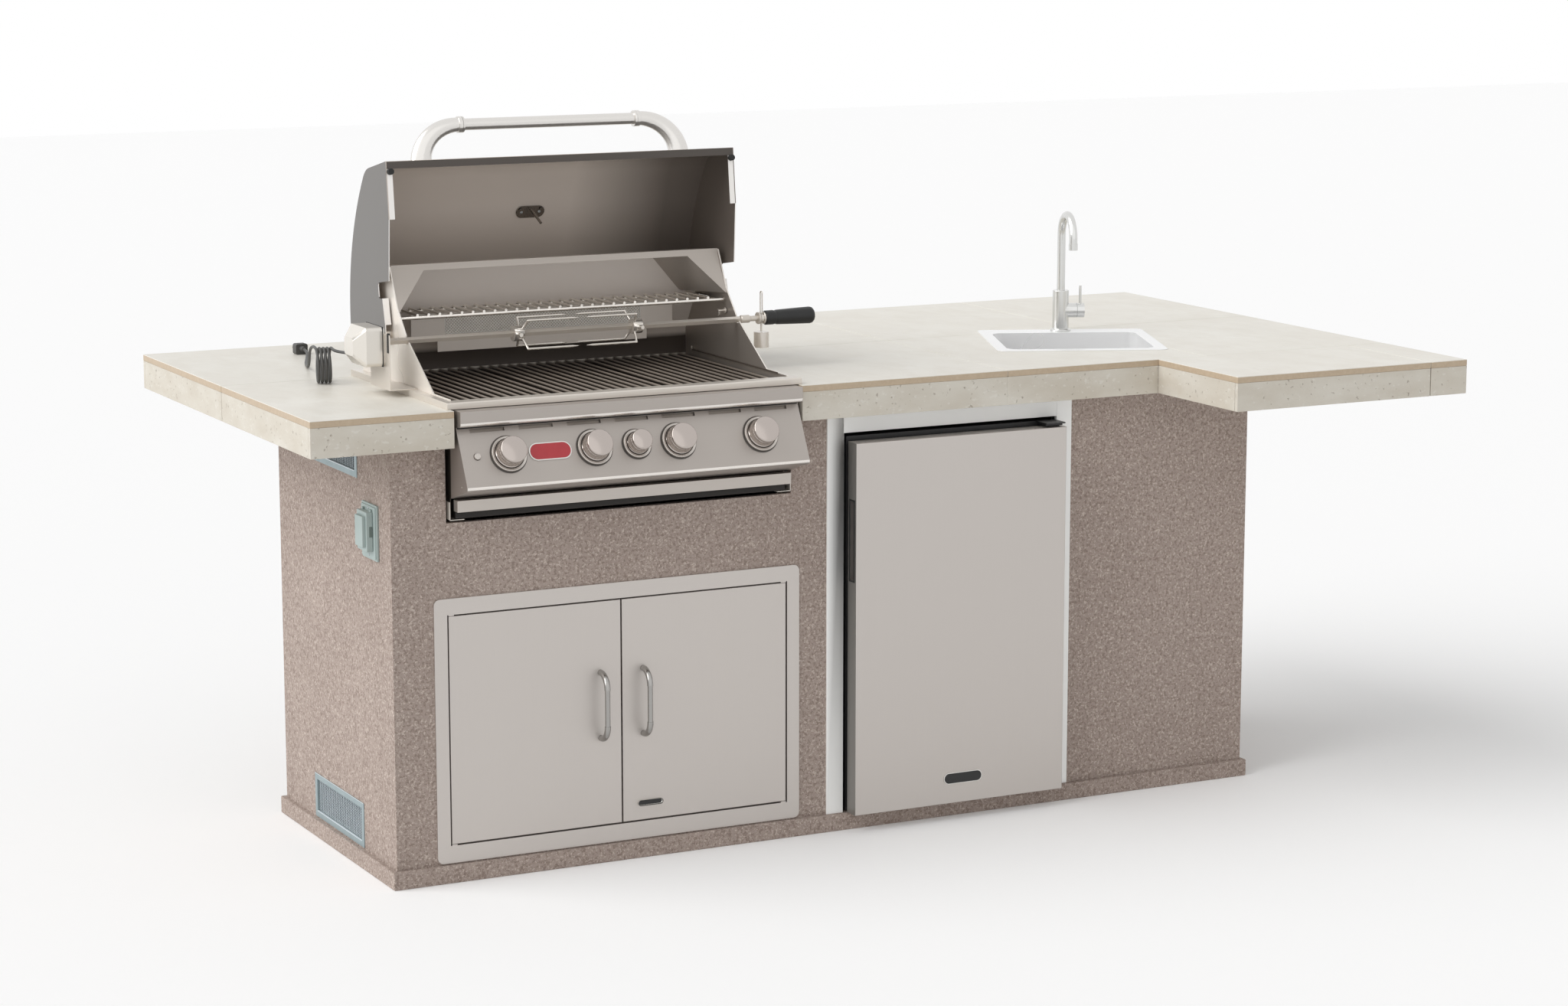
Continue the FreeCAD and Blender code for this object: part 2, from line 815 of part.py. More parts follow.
def make_warming_rack():
    """Front and back rails, end rails and cross wires whose ends lie on the front rail."""
    half = plate_inner - 6
    back_y = rack_front_y + rack_depth
    wire_z = rack_z + rack_rail + rack_wire - 1.5
    rails = [rod(V(-half, rack_front_y, rack_z), V(half, rack_front_y, rack_z), rack_rail),
             rod(V(-half, back_y, rack_z + 1), V(half, back_y, rack_z + 1), rack_rail - 1)]
    for x in (-half + rack_rail, half - rack_rail):
        rails.append(rod(V(x, rack_front_y, rack_z), V(x, back_y, rack_z), rack_rail - 1))
    wires = [rod(V(x, rack_front_y - 3, wire_z), V(x, back_y + 3, wire_z), rack_wire)
             for x in spaced(int((2 * half - 30) // rack_wire_pitch), rack_wire_pitch)]
    hooks = []
    for side in (-1, 1):
        for y in (rack_front_y + 12, back_y - 12):
            hooks.append(rod(V(side * plate_inner, y, rack_z), V(side * (half - rack_rail), y, rack_z),
                             rack_rail - 1.5))
    rack = join(*(rails + wires + hooks))
    rack.translate(V(grill_centre_x, 0, 0))
    return rack


def make_cooking_grates():
    """Three lift-out sections of round rods on two cross rods."""
    inside = 2 * (plate_inner - liner_sheet)
    section = inside / grate_section_count
    count = int((section - 6) // grate_pitch) + 1
    front = firebox_front + liner_sheet + 1
    back = firebox_back - liner_sheet - 1
    rod_z = grate_top - grate_rod
    pieces = []
    for centre in spaced(grate_section_count, section):
        bars = [rod(V(centre + x, front, rod_z), V(centre + x, back, rod_z), grate_rod)
                for x in spaced(count, grate_pitch)]
        reach = (count - 1) / 2 * grate_pitch
        ties = [rod(V(centre - reach, y, rod_z - grate_rod - 1),
                    V(centre + reach, y, rod_z - grate_rod - 1), 3.0)
                for y in (front + 40, (front + back) / 2, back - 40)]
        pieces.append(join(*(bars + ties)))
    for piece in pieces:
        piece.translate(V(grill_centre_x, 0, 0))
    return group(pieces)


def make_heat_baffles():
    """Ridged plates over the burners, resting on the lower ledges."""
    sheet = liner_sheet
    half = baffle_width / 2
    ridge = [(-half, 0), (-half, sheet), (0, baffle_rise), (half, sheet), (half, 0),
             (0, baffle_rise - sheet)]
    front = firebox_front + liner_sheet + seat_gap
    back = firebox_back - liner_sheet - seat_gap
    plates = []
    for x in spaced(4, burner_pitch):
        outline = chain([V(grill_centre_x + x + a, front, baffle_base + b) for a, b in ridge])
        plates.append(Part.Face(outline).extrude(V(0, back - front, 0)))
    return group(plates)


def make_main_burners():
    """Four long burners, each with its venturi through the firebox front and a tab at the back."""
    burners = []
    front = firebox_front + 60
    back = firebox_back - 40
    for x in spaced(4, burner_pitch):
        body = block(-burner_width / 2, burner_width / 2, front, back,
                     burner_z - burner_height / 2, burner_z + burner_height / 2)
        body = round_edges(body, 9.0, lambda p, e: abs(abs(p.x) - burner_width / 2) < 0.1
                           and abs(abs(p.z - burner_z) - burner_height / 2) < 0.1)
        venturi = rod(V(0, firebox_front - 4, burner_z), V(0, front + 1, burner_z), venturi_radius)
        tab = block(-10, 10, back - 1, firebox_back - liner_sheet, burner_z - 2, burner_z)
        burner = join(body, venturi, tab)
        burner.translate(V(grill_centre_x + x, 0, 0))
        burners.append(burner)
    return group(burners)


def on_panel(offset_x, lift):
    """Point over the slanted panel at the knob row, lifted along its normal."""
    return V(grill_centre_x + offset_x, knob_row_y, knob_row_z) + outward * lift


knob_rows = [-knob_offset, -inner_knob_offset, 0, inner_knob_offset, knob_offset]
valve_near = -16.0
valve_far = -38.0


def make_gas_manifold():
    """Pipe behind the panel with a valve for each knob and two brackets to the firebox."""
    pipe_at = on_panel(0, valve_far)
    left = V(grill_centre_x - knob_offset - 40, pipe_at.y, pipe_at.z)
    right = V(grill_centre_x + knob_offset + 40, pipe_at.y, pipe_at.z)
    solids = [rod(left, right, manifold_radius)]
    for x in knob_rows:
        solids.append(rod(on_panel(x, valve_far), on_panel(x, valve_near), 11.0))
    for x in (-knob_offset - 30, knob_offset + 30):
        solids.append(block(grill_centre_x + x - 8, grill_centre_x + x + 8, pipe_at.y, firebox_front,
                            pipe_at.z - 3, pipe_at.z + 3))
    manifold = join(*solids)
    bores = [rod(on_panel(x, valve_far + 6), on_panel(x, valve_near + 1), stem_radius + stem_fit)
             for x in knob_rows]
    return manifold.cut(bores)


# Control panel, bezels, knobs, igniter button

def panel_steps(inset):
    """Panel section: upper nose, slanted face, lower roll and underside."""
    top = counter_height - 1 - inset
    nose = nose_front + inset
    turn = 9.0 - inset
    low = nose_low + inset
    corner = 45 * math.pi / 180
    mid = (nose + turn - turn * math.cos(corner), low + turn - turn * math.sin(corner))
    shift_y = outward.y * -inset
    shift_z = outward.z * -inset
    slant_a = (slant_top_y + shift_y, slant_top_z + shift_z + inset * 0.5)
    slant_b = (slant_low_y + shift_y, slant_low_z + shift_z)
    roll_mid = (slant_low_y + 0.5 + inset, slant_low_z - 6)
    roll_end = (slant_low_y + 6 + inset * 0.5, slant_low_z - 9 + inset)
    back = panel_back_y + (inset and 5)
    back_low = (back, panel_low_z + inset - (inset and 1.6))
    return [(back, top), (nose, top), (nose, low + turn), (mid, (nose + turn, low)), slant_a, slant_b,
            (roll_mid, roll_end), back_low]


def make_control_panel():
    """Formed sheet, open at the back, with closed ends, air slots and holes for stems and button."""
    half = panel_width / 2
    shell = extrude_x(panel_steps(0), grill_centre_x - half, grill_centre_x + half)
    hollow = extrude_x(panel_steps(panel_sheet), grill_centre_x - half + panel_sheet,
                       grill_centre_x + half - panel_sheet)
    cutters = [hollow]
    for x in knob_rows:
        cutters.append(rod(on_panel(x, -10), on_panel(x, 10), stem_radius + 3))
    cutters.append(rod(on_panel(button_offset, -10), on_panel(button_offset, 10),
                       button_radius + stem_fit + 0.25))
    slot_at = V(grill_centre_x, slant_top_y, slant_top_z) + slant * 9
    for x in spaced(slot_count, slot_pitch):
        slot = Part.makeBox(slot_length, 20, slot_height, V(-slot_length / 2, -10, -slot_height / 2))
        slot.translate(V(slot_at.x + x, slot_at.y, slot_at.z))
        cutters.append(slot)
    return shell.cut(cutters)


def bezel_size(x):
    return small_bezel_radius if x == 0 else bezel_radius


def knob_size(x):
    return small_knob_radius if x == 0 else knob_radius


def turned(steps, base, axis):
    """Solid of revolution about an axis, from (radius, height) steps starting and ending on it."""
    wire = chain([V(r, 0, h) for r, h in steps])
    solid = Part.Face(wire).revolve(V(0, 0, 0), up, 360)
    solid.Placement = FreeCAD.Placement(base, Rotation(up, axis)).multiply(solid.Placement)
    return solid


def make_knob_bezels():
    """Dished rings under the knobs."""
    rings = []
    for x in knob_rows:
        r = bezel_size(x)
        steps = [(stem_radius + 3, 0), (r, 0), (r, 3), (r - 5, bezel_thick), (r - 12, bezel_thick),
                 (r - 14, bezel_thick - 3), (stem_radius + 3, bezel_thick - 3)]
        rings.append(turned(steps, on_panel(x, 0), outward))
    return group(rings)


def make_knob(x):
    """Turned knob: stem, skirt, waist and a slightly domed cap."""
    r = knob_size(x)
    base = bezel_thick + swing_gap - 2
    steps = [(0, valve_far + 8), (stem_radius, valve_far + 8), (stem_radius, base), (r - 5, base),
             (r - 5, base + 19), (r - 3, base + 21), (r, base + 22), (r, knob_height - 2),
             (r - 2, knob_height), (0, knob_height + 1.5)]
    return turned(steps, on_panel(x, 0), outward)


def make_igniter_button():
    """Round push button with a retaining collar inside the panel."""
    r = button_radius
    collar = -panel_sheet - seat_gap
    steps = [(0, collar - 3), (r + 2, collar - 3), (r + 2, collar), (r, collar), (r, 4), (r - 1, 5),
             (0, 5)]
    return turned(steps, on_panel(button_offset, 0), outward)


def make_drip_tray():
    """Shallow pan behind a flanged front."""
    sheet = tray_sheet
    half = tray_width / 2
    pan_half = plate_inner - liner_sheet - 2.5
    pan_front = tray_front_y + 22
    pan_low = rail_low + liner_sheet + seat_gap
    pan_high = tray_high - 5
    pan = block(-pan_half, pan_half, pan_front, tray_front_y + tray_length, pan_low, pan_high)
    well = block(-pan_half + sheet, pan_half - sheet, pan_front + sheet,
                 tray_front_y + tray_length - sheet,
                 pan_low + sheet, pan_high + 1)
    front = block(-half, half, tray_front_y, pan_front, tray_low, tray_high)
    groove = block(-half + sheet, half - sheet, tray_front_y + sheet, pan_front + 1, tray_low - 1,
                   tray_high - sheet)
    over = block(-pan_half, pan_half, pan_front, pan_front + sheet, pan_high - 1, tray_high)
    tray = join(pan.cut(well), front.cut(groove), over)
    tray.translate(V(grill_centre_x, 0, 0))
    return tray


# Lid: every piece is drawn closed, then swung open about its pins

def swung_open(shape):
    opened = shape.copy()
    opened.rotate(V(0, lid_pin_y, lid_pin_z), across, -lid_open_angle)
    return opened


def lid_steps(inset, past=0.0):
    """Lid section: front face, rounded brow, long crown, back edge and stepped rim."""
    lean = math.atan2(brow_y - lip_y, brow_z - lip_z)
    front_low = (lip_y + inset, lip_z - past)
    arc = Part.Arc(V(0, brow_y + inset, brow_z - inset * 0.3),
                   V(0, crown_y + inset * 0.5, crown_z - inset * 0.85),
                   V(0, tail_y, tail_z - inset))
    start = arc.value(arc.FirstParameter + (arc.LastParameter - arc.FirstParameter) * 0.07)
    middle = arc.value((arc.FirstParameter + arc.LastParameter) / 2)
    drop = brow_round * 0.8
    front_high = (brow_y + inset - math.sin(lean) * drop, brow_z - inset - math.cos(lean) * drop)
    round_mid = (brow_y + inset + 4.5, brow_z - inset + 1.5)
    back_y = tail_y + past
    return [front_low, front_high, (round_mid, (start.y, start.z)),
            ((middle.y, middle.z), (back_y, tail_z - inset)),
            (back_y, lid_pin_z - 15 - past), (lid_pin_y - 17, lid_pin_z - 17 - past),
            (slot_back, slot_back_z - past), (slot_back, rim_rear_z - past),
            (slot_front, rim_rear_z - past),
            (90, rim_mid_z - past)]


slot_front = spit_y - 12.0
slot_back = slot_front + slot_width
slot_back_z = counter_height + 102.0
rim_mid_z = counter_height + 29.6
rim_rear_z = counter_height + 56.6


def make_lid_shell():
    """Drawn sheet with two side plates, slotted for the spit, and inward flanges on the rim."""
    half = lid_width / 2
    sheet = lid_sheet
    x0 = grill_centre_x - half
    x1 = grill_centre_x + half
    shell = extrude_x(lid_steps(0), x0, x1)
    hollow = extrude_x(lid_steps(sheet, 60), x0 + sheet, x1 - sheet)
    shell = shell.cut(hollow)
    slot = block(x0 - 1, x1 + 1, slot_front, slot_back, rim_rear_z - 80, slot_top)
    slot = round_edges(slot, 8.0, lambda p, e: abs(p.z - slot_top) < 0.1
                       and abs(e.tangentAt(e.FirstParameter).x) > 0.9)
    pins = rod(V(x0 - 1, lid_pin_y, lid_pin_z), V(x1 + 1, lid_pin_y, lid_pin_z),
               lid_pin_radius + running_gap)
    shell = shell.cut([slot, pins])
    lip = block(x0 + sheet, x1 - sheet, lip_y + 1, lip_y + 16, lip_z, lip_z + sheet)
    flanges = [lip]
    front_run = [(lip_y + 14, lip_z + 0.7), (90, rim_mid_z), (90, rim_mid_z + sheet),
                 (lip_y + 14, lip_z + 0.7 + sheet)]
    rear_run = [(slot_back, slot_back_z), (lid_pin_y - 17, lid_pin_z - 17),
                (lid_pin_y - 17, lid_pin_z - 17 + sheet),
                (slot_back, slot_back_z + sheet)]
    for run in (front_run, rear_run):
        flange = extrude_x(run, x0 + 1, x0 + rim_flange)
        flanges += [flange, mirrored(flange)]
    return swung_open(join(shell, *flanges))


front_face = V(0, brow_y - lip_y, brow_z - lip_z).normalize()
front_normal = V(0, -front_face.z, front_face.y)
handle_base = V(grill_centre_x, (lip_y + brow_y) / 2, (lip_z + brow_z) / 2)


def oval(centre, wide_way, tall_way, wide, tall):
    """Closed ellipse with its long half along wide_way."""
    ring = Part.Ellipse(V(0, 0, 0), wide, tall).toShape()
    ring.Placement = FreeCAD.Placement(centre, Rotation(wide_way, tall_way, wide_way.cross(tall_way),
                                                        "XYZ"))
    return Part.Wire(ring)


def handle_bend():
    """Cast bend from the tube's collar to its oval foot on the lid's front face."""
    foot_x = -handle_foot_span / 2
    collar_x = -handle_span / 2
    reach = collar_x - foot_x
    stations = 5
    rings = []
    for i in range(stations):
        turn = math.pi / 2 * i / (stations - 1)
        share = i / (stations - 1)
        centre = (handle_base + across * (collar_x - reach * math.sin(turn))
                  + front_normal * (1 + (handle_standoff - 1) * math.cos(turn)))
        # the section's wide way lies in the bend's own plane at the foot
        wide_way = across * math.sin(turn) - front_normal * math.cos(turn)
        wide = handle_radius + 2.5 + share * 8.5
        tall = handle_radius + 2 + share * 2
        rings.append(oval(centre, wide_way, front_face, wide, tall))
    bend = Part.makeLoft(rings, True, False)
    collar_at = handle_base + across * collar_x + front_normal * handle_standoff
    collar = rod(collar_at - across * 1, collar_at + across * 7, handle_radius + 5)
    return bend, collar


def make_lid_handle():
    """Straight tube between two flared bends."""
    bend, collar = handle_bend()
    foot = join(bend, collar)
    start = handle_base + across * (7 - handle_span / 2) + front_normal * handle_standoff
    end = handle_base + across * (handle_span / 2 - 7) + front_normal * handle_standoff
    tube = rod(start, end, handle_radius)
    return group([swung_open(s) for s in (foot, tube, mirrored(foot))])


def make_lid_bumpers():
    """Rubber feet under the front corners of the rim, which meet the trim when the lid is shut."""
    x = grill_centre_x - lid_width / 2 + rim_flange / 2 + 1
    y = lip_y + 22
    base = flange_top + seat_gap
    bumper = rod(V(x, y, base), V(x, y, base + bumper_height + 6), bumper_radius)
    above = [(lip_y + 14, lip_z + 0.7), (90, rim_mid_z), (90, rim_mid_z + 30), (lip_y + 14, lip_z + 30)]
    bumper = bumper.cut(extrude_x(above, x - 20, x + 20))
    return group([swung_open(bumper), swung_open(mirrored(bumper))])


def make_lid_thermometer():
    """Dial on the lid's crown with its stem, and the backing plate and two screws inside."""
    arc = Part.Arc(V(0, brow_y, brow_z), V(0, crown_y, crown_z), V(0, tail_y, tail_z))
    share = arc.FirstParameter + (arc.LastParameter - arc.FirstParameter) * 0.30
    at = arc.value(share)
    along = arc.tangent(share)[0].normalize()
    normal = V(0, -along.z, along.y)
    if normal.z < 0:
        normal = normal * -1
    base = V(grill_centre_x, at.y, at.z)
    steps = [(0, 1.0), (dial_radius, 1.0), (dial_radius, dial_thick - 3), (dial_radius - 3, dial_thick),
             (dial_radius - 6, dial_thick - 2), (0, dial_thick - 2)]
    dial = turned(steps, base, normal)
    plate = Part.makeBox(68, 40, 2, V(-34, -20, -2))
    screws = [Part.makeCylinder(4, 2.5, V(x, 0, -4.5)) for x in (-24, 24)]
    stem = Part.makeCylinder(3, 60, V(0, 0, -62))
    backing = join(plate, stem, *screws)
    backing.Placement = FreeCAD.Placement(base - normal * (lid_sheet + 1.5),
                                          Rotation(across, along, normal, "ZXY"))
    return group([swung_open(dial), swung_open(backing)])


# Rotisserie

def make_spit_rod():
    """Square rod with a bushing outside the right plate and a round shank to the grip."""
    half = spit_side / 2
    square = block(spit_left, grill_centre_x + plate_outer + 6, -half, half, -half, half)
    square.rotate(V(0, 0, 0), across, spit_spin)
    bush_x = grill_centre_x + plate_outer + 4
    bush = rod(V(bush_x, 0, 0), V(bush_x + 22, 0, 0), bush_radius)
    bush = bush.makeChamfer(1.5, bush.Edges)
    shank = rod(V(bush_x + 20, 0, 0), V(grip_left - 4, 0, 0), 6.0)
    collar = rod(V(grip_left - 20, 0, 0), V(grip_left - 16, 0, 0), 13.0)
    spit = join(square, bush, shank, collar)
    spit.translate(V(0, spit_y, spit_z))
    return spit


def one_fork(x, facing):
    """Collar with a thumb screw and four prongs bent to run along the rod."""
    half = spit_side / 2 + running_gap
    collar = rod(V(-11, 0, 0), V(11, 0, 0), 16.0)
    bore = block(-12, 12, -half, half, -half, half)
    bore.rotate(V(0, 0, 0), across, spit_spin)
    screw = rod(V(-3, -14, 0), V(-3, -30, 0), 4.0)
    parts = [collar, screw]
    for sy in (-1, 1):
        for sz in (-1, 1):
            root = V(7, sy * 9, sz * 9)
            knee = V(12, sy * fork_half, sz * fork_half)
            tip = V(fork_reach - 14, sy * fork_half, sz * fork_half)
            parts.append(rod(root, knee, fork_wire))
            parts.append(Part.makeSphere(fork_wire, knee))
            parts.append(rod(knee, tip, fork_wire))
            parts.append(Part.makeCone(fork_wire, 0.4, 14, tip, across))
    fork = join(*parts).cut(bore)
    if facing < 0:
        fork = fork.mirror(V(0, 0, 0), across)
    fork.translate(V(x, spit_y, spit_z))
    return fork


def make_spit_forks():
    return group([one_fork(fork_left_x, 1), one_fork(fork_right_x, -1)])


def make_spit_grip():
    """Tapered handle on the end of the rod."""
    base = V(grip_left - 4, spit_y, spit_z)
    length = spit_right - grip_left + 4
    steps = [(0, 0), (grip_small, 0), (grip_large, length - 8), (grip_large - 5, length), (0, length)]
    return turned(steps, base, across)


def make_counterweight():
    """Weight on a bent wire that is clamped under the collar."""
    x = grip_left - 10.5
    bore = 6.0 + running_gap
    ring = rod(V(x - 3.5, 0, 0), V(x + 3.5, 0, 0), 10.0)
    ring = ring.cut(rod(V(x - 4, 0, 0), V(x + 4, 0, 0), bore))
    weight = rod(V(x, 0, -weight_drop + weight_height / 2), V(x, 0, -weight_drop - weight_height / 2),
                 weight_radius)
    neck = rod(V(x, 0, -9), V(x, 0, -weight_drop + weight_height / 2 + 1), 2.0)
    loop_top = 58.0
    half = 4.5
    legs = [rod(V(x, s * half, 8.5), V(x, s * half, loop_top - half), 1.4) for s in (-1, 1)]
    arch = Part.makeTorus(half, 1.4, V(x, 0, loop_top - half), across, 0, 360, 360)
    arch = arch.common(block(x - 3, x + 3, -8, 8, loop_top - half, loop_top + 4))
    hanger = join(ring, weight, neck, arch, *legs)
    hanger.translate(V(0, spit_y, spit_z))
    return hanger


def make_motor_bracket():
    """Angle plate: the foot lies on the trim, the upright carries the motor."""
    back = bracket_front + bracket_depth
    foot_right = grill_centre_x - plate_outer - 2
    upright = block(bracket_x, bracket_x + bracket_sheet, bracket_front, back, flange_top, bracket_high)
    foot = block(bracket_x, foot_right, bracket_front, back, flange_top, flange_top + bracket_sheet)
    hole = rod(V(bracket_x - 1, spit_y, spit_z), V(bracket_x + bracket_sheet + 1, spit_y, spit_z), 9.0)
    upright = round_edges(upright, 6.0, lambda p, e: abs(p.z - bracket_high) < 0.1
                          and abs(e.tangentAt(e.FirstParameter).x) > 0.9)
    return join(upright, foot).cut(hole)


def motor_ring(x, inset, corner):
    """Rounded rectangle across the motor at one x."""
    y0 = motor_front + inset
    y1 = motor_front + motor_depth - inset
    z0 = motor_low + inset
    z1 = motor_high - inset
    cut = corner * (1 - math.cos(math.pi / 4))
    steps = [(y0 + corner, z0), (y1 - corner, z0), ((y1 - cut, z0 + cut), (y1, z0 + corner)),
             (y1, z1 - corner),
             ((y1 - cut, z1 - cut), (y1 - corner, z1)), (y0 + corner, z1),
             ((y0 + cut, z1 - cut), (y0, z1 - corner)),
             (y0, z0 + corner), ((y0 + cut, z0 + cut), (y0 + corner, z0))]
    return chain(at_x(steps, x))


def make_motor_housing():
    """Box with a tapered outer end, a base rim, a drive socket and a cord gland."""
    knee = bracket_x - motor_wall
    end = knee - motor_taper
    body = Part.Face(motor_ring(bracket_x - 3, 0, 8)).extrude(V(knee - bracket_x + 3, 0, 0))
    cap = Part.makeLoft([motor_ring(knee, 0, 8), motor_ring(end, motor_inset, 8)], True, True)
    base = Part.Face(motor_ring(bracket_x, 1.5, 8)).extrude(V(-4, 0, 0))
    gland = rod(cord_exit - gland_way * (gland_length + 8), cord_exit, 6.0)
    socket = rod(V(spit_left - 5, spit_y, spit_z), V(bracket_x + 1, spit_y, spit_z),
                 spit_side * 0.75 + swing_gap)
    return join(body, cap, base, gland).cut(socket)


gland_length = 10.0
gland_way = inward
gland_root = V(bracket_x - motor_wall + 16.0, motor_front + motor_depth, motor_low + 14.0)
cord_exit = gland_root + gland_way * gland_length

# Cord: a lead from the motor, a coil standing on the counter, a lead back to the plug

coil_axis = V(math.cos(math.radians(coil_heading)), math.sin(math.radians(coil_heading)), 0)
coil_side = V(-coil_axis.y, coil_axis.x, 0)
coil_centre = V(coil_x, coil_y, counter_height + coil_radius + cord_radius)


def coil_point(turns):
    """Point and heading of the coil after some turns, from its top on the motor's side."""
    angle = 2 * math.pi * turns
    travel = coil_pitch * (coil_turns / 2 - turns)
    place = (coil_centre + coil_axis * travel + up * (coil_radius * math.cos(angle))
             + coil_side * (coil_radius * math.sin(angle)))
    heading = (coil_axis * (-coil_pitch / (2 * math.pi)) - up * (coil_radius * math.sin(angle))
               + coil_side * (coil_radius * math.cos(angle)))
    return place, heading.normalize()


def arc_by_apex(start, apex, end):
    """Circular arc tangent to the two legs that meet at the apex."""
    chord_mid = (start + end) * 0.5
    half_chord = (end - start).Length / 2
    leg = (apex - start).Length
    half_turn = math.acos(min(1.0, half_chord / leg))
    rise = half_chord * math.tan(half_turn / 2)
    middle = chord_mid + (apex - chord_mid).normalize() * rise
    return Part.Arc(start, middle, end).toShape()


def biarc(p0, t0, p1, t1):
    """Two arcs that join two points with given headings."""
    v = p1 - p0
    t = t0 + t1
    a = 2 * (1 - t0.dot(t1))
    b = v.dot(t)
    d = (-b + math.sqrt(b * b + a * v.dot(v))) / a
    q0 = p0 + t0 * d
    q1 = p1 - t1 * d
    joint = (q0 + q1) * 0.5
    return [arc_by_apex(p0, q0, joint), arc_by_apex(joint, q1, p1)]


def make_cord_coil():
    """The coil's turns as one unbroken tube, with a short straight at each end."""
    steps = coil_turns * 4
    stations = [coil_point(i / 4) for i in range(steps + 1)]
    straight = 2 * cord_radius
    first, first_heading = stations[0]
    last, last_heading = stations[-1]
    edges = [Part.makeLine(first - first_heading * straight, first)]
    for (p0, t0), (p1, t1) in zip(stations, stations[1:]):
        edges += biarc(p0, t0, p1, t1)
    edges.append(Part.makeLine(last, last + last_heading * straight))
    wire = Part.Wire(edges)
    tube = sweep(wire, cord_radius)
    points = [coil_point(i / 48)[0] for i in range(coil_turns * 48 + 1)]
    gap = min((p - q).Length for i, p in enumerate(points) for q in points[i + 24:]) - 2 * cord_radius
    print("coil length", round(wire.Length), "least gap to itself", round(gap, 2))
    return tube


def cord_routes():
    """The two free stretches, which meet the coil's straights end to end."""
    straight = 2 * cord_radius
    first, first_heading = coil_point(0)
    last, last_heading = coil_point(coil_turns)
    start = first - first_heading * straight
    finish = last + last_heading * straight
    lying = counter_height + cord_radius + 0.2
    motor_lead = [cord_exit, cord_exit + V(-2, 50, -3), start - first_heading * 42, start]
    falling = [V(24, 530, counter_height + 60), V(44, 590, counter_height + 26)]
    flat = [V(62, 650, lying), V(80, 716, lying), V(106, 782, lying)]
    plug_lead = [finish, finish + last_heading * 36] + falling + flat
    plug_lead += [V(plug_at.x - 4, plug_at.y - 36, plug_at.z), plug_at]
    return motor_lead, plug_lead


plug_at = V(130.0, 868.0, counter_height + 13.0)


def make_cord_plug():
    """Moulded plug lying on the counter: a waisted body, a round face and two blades and a pin."""
    heading = inward
    neck = turned([(0, 0), (cord_radius + 1.5, 0), (cord_radius + 3.5, 14), (0, 14)], plug_at, heading)
    face_at = plug_at + heading * 13
    body = block(-14, 14, 0, 22, -13, 11)
    body = round_edges(body, 5.0, lambda p, e: abs(e.tangentAt(e.FirstParameter).y) > 0.9)
    body.translate(face_at)
    blades = [block(x - 3.2, x + 3.2, 21, 38, -0.8, 0.8) for x in (-6.5, 6.5)]
    pin = rod(V(0, 21, 6), V(0, 39, 6), 2.4)
    prongs = [p.translated(face_at) for p in blades + [pin]]
    return join(body, neck, *prongs)


# Sink and faucet

def make_sink_bowl():
    """Pressed bowl hanging by its rim, with a drain hole."""
    rim = rounded_plate(sink_width, sink_depth, 18.0, 0, rim_thick)
    outer = rounded_plate(bowl_width, bowl_length, bowl_round, -bowl_drop, rim_thick)
    inner = rounded_plate(bowl_width - 2 * rim_thick, bowl_length - 2 * rim_thick,
                          bowl_round - rim_thick,
                          -bowl_drop + rim_thick, rim_thick + 1)
    outer = round_edges(outer, 16.0, lambda p, e: abs(p.z + bowl_drop) < 0.1)
    inner = round_edges(inner, 14.5, lambda p, e: abs(p.z + bowl_drop - rim_thick) < 0.1)
    drain = rod(V(0, 0, -bowl_drop - 1), V(0, 0, -bowl_drop + 4), drain_radius - 8)
    for piece in (outer, inner, drain):
        piece.translate(V(0, bowl_shift, 0))
    shank = rod(V(0, faucet_setback, -1), V(0, faucet_setback, rim_thick + 1), spout_radius + seat_gap)
    return place_on_sink(join(rim, outer).cut([inner, drain, shank]))


sink_drain = V(0, bowl_shift, -bowl_drop)
sink_drain = Rotation(up, sink_turn).multVec(sink_drain) + V(sink_x, sink_y, counter_height)
trap_arm_z = counter_height - 294.0


def make_sink_drain():
    """Strainer in the bowl, tail pipe, trap and the arm to the back wall."""
    at = sink_drain
    wall = drain_radius - 9
    collar = turned([(0, -24), (wall, -24), (wall, rim_thick), (drain_radius, rim_thick),
                     (drain_radius, rim_thick + 1.5), (wall - 2, rim_thick + 1.5), (wall - 3, -20),
                     (0, -20)],
                    at, up)
    holes = []
    for ring_radius, count in ((9, 6), (19, 10)):
        for i in range(count):
            angle = 2 * math.pi * i / count
            spot = at + V(ring_radius * math.cos(angle), ring_radius * math.sin(angle), -25)
            holes.append(rod(spot, spot + up * 6, 2.5))
    collar = collar.cut(holes)
    top = at - up * 24
    low_z = trap_arm_z - 60
    lane = 2 * trap_radius
    route = [top, V(at.x, at.y, low_z - trap_radius), V(at.x, at.y + lane, low_z - trap_radius),
             V(at.x, at.y + lane, trap_arm_z), V(at.x, wall_depth, trap_arm_z)]
    pipe_wire = bent_route(route, trap_radius - 4)[0]
    pipe = sweep(pipe_wire, tail_radius)
    return group([collar, pipe])


def on_faucet(shape):
    """Stand a piece drawn about the faucet's axis on the sink's back rim."""
    placed = shape.copy()
    placed.translate(V(0, faucet_setback, rim_thick))
    return place_on_sink(placed)


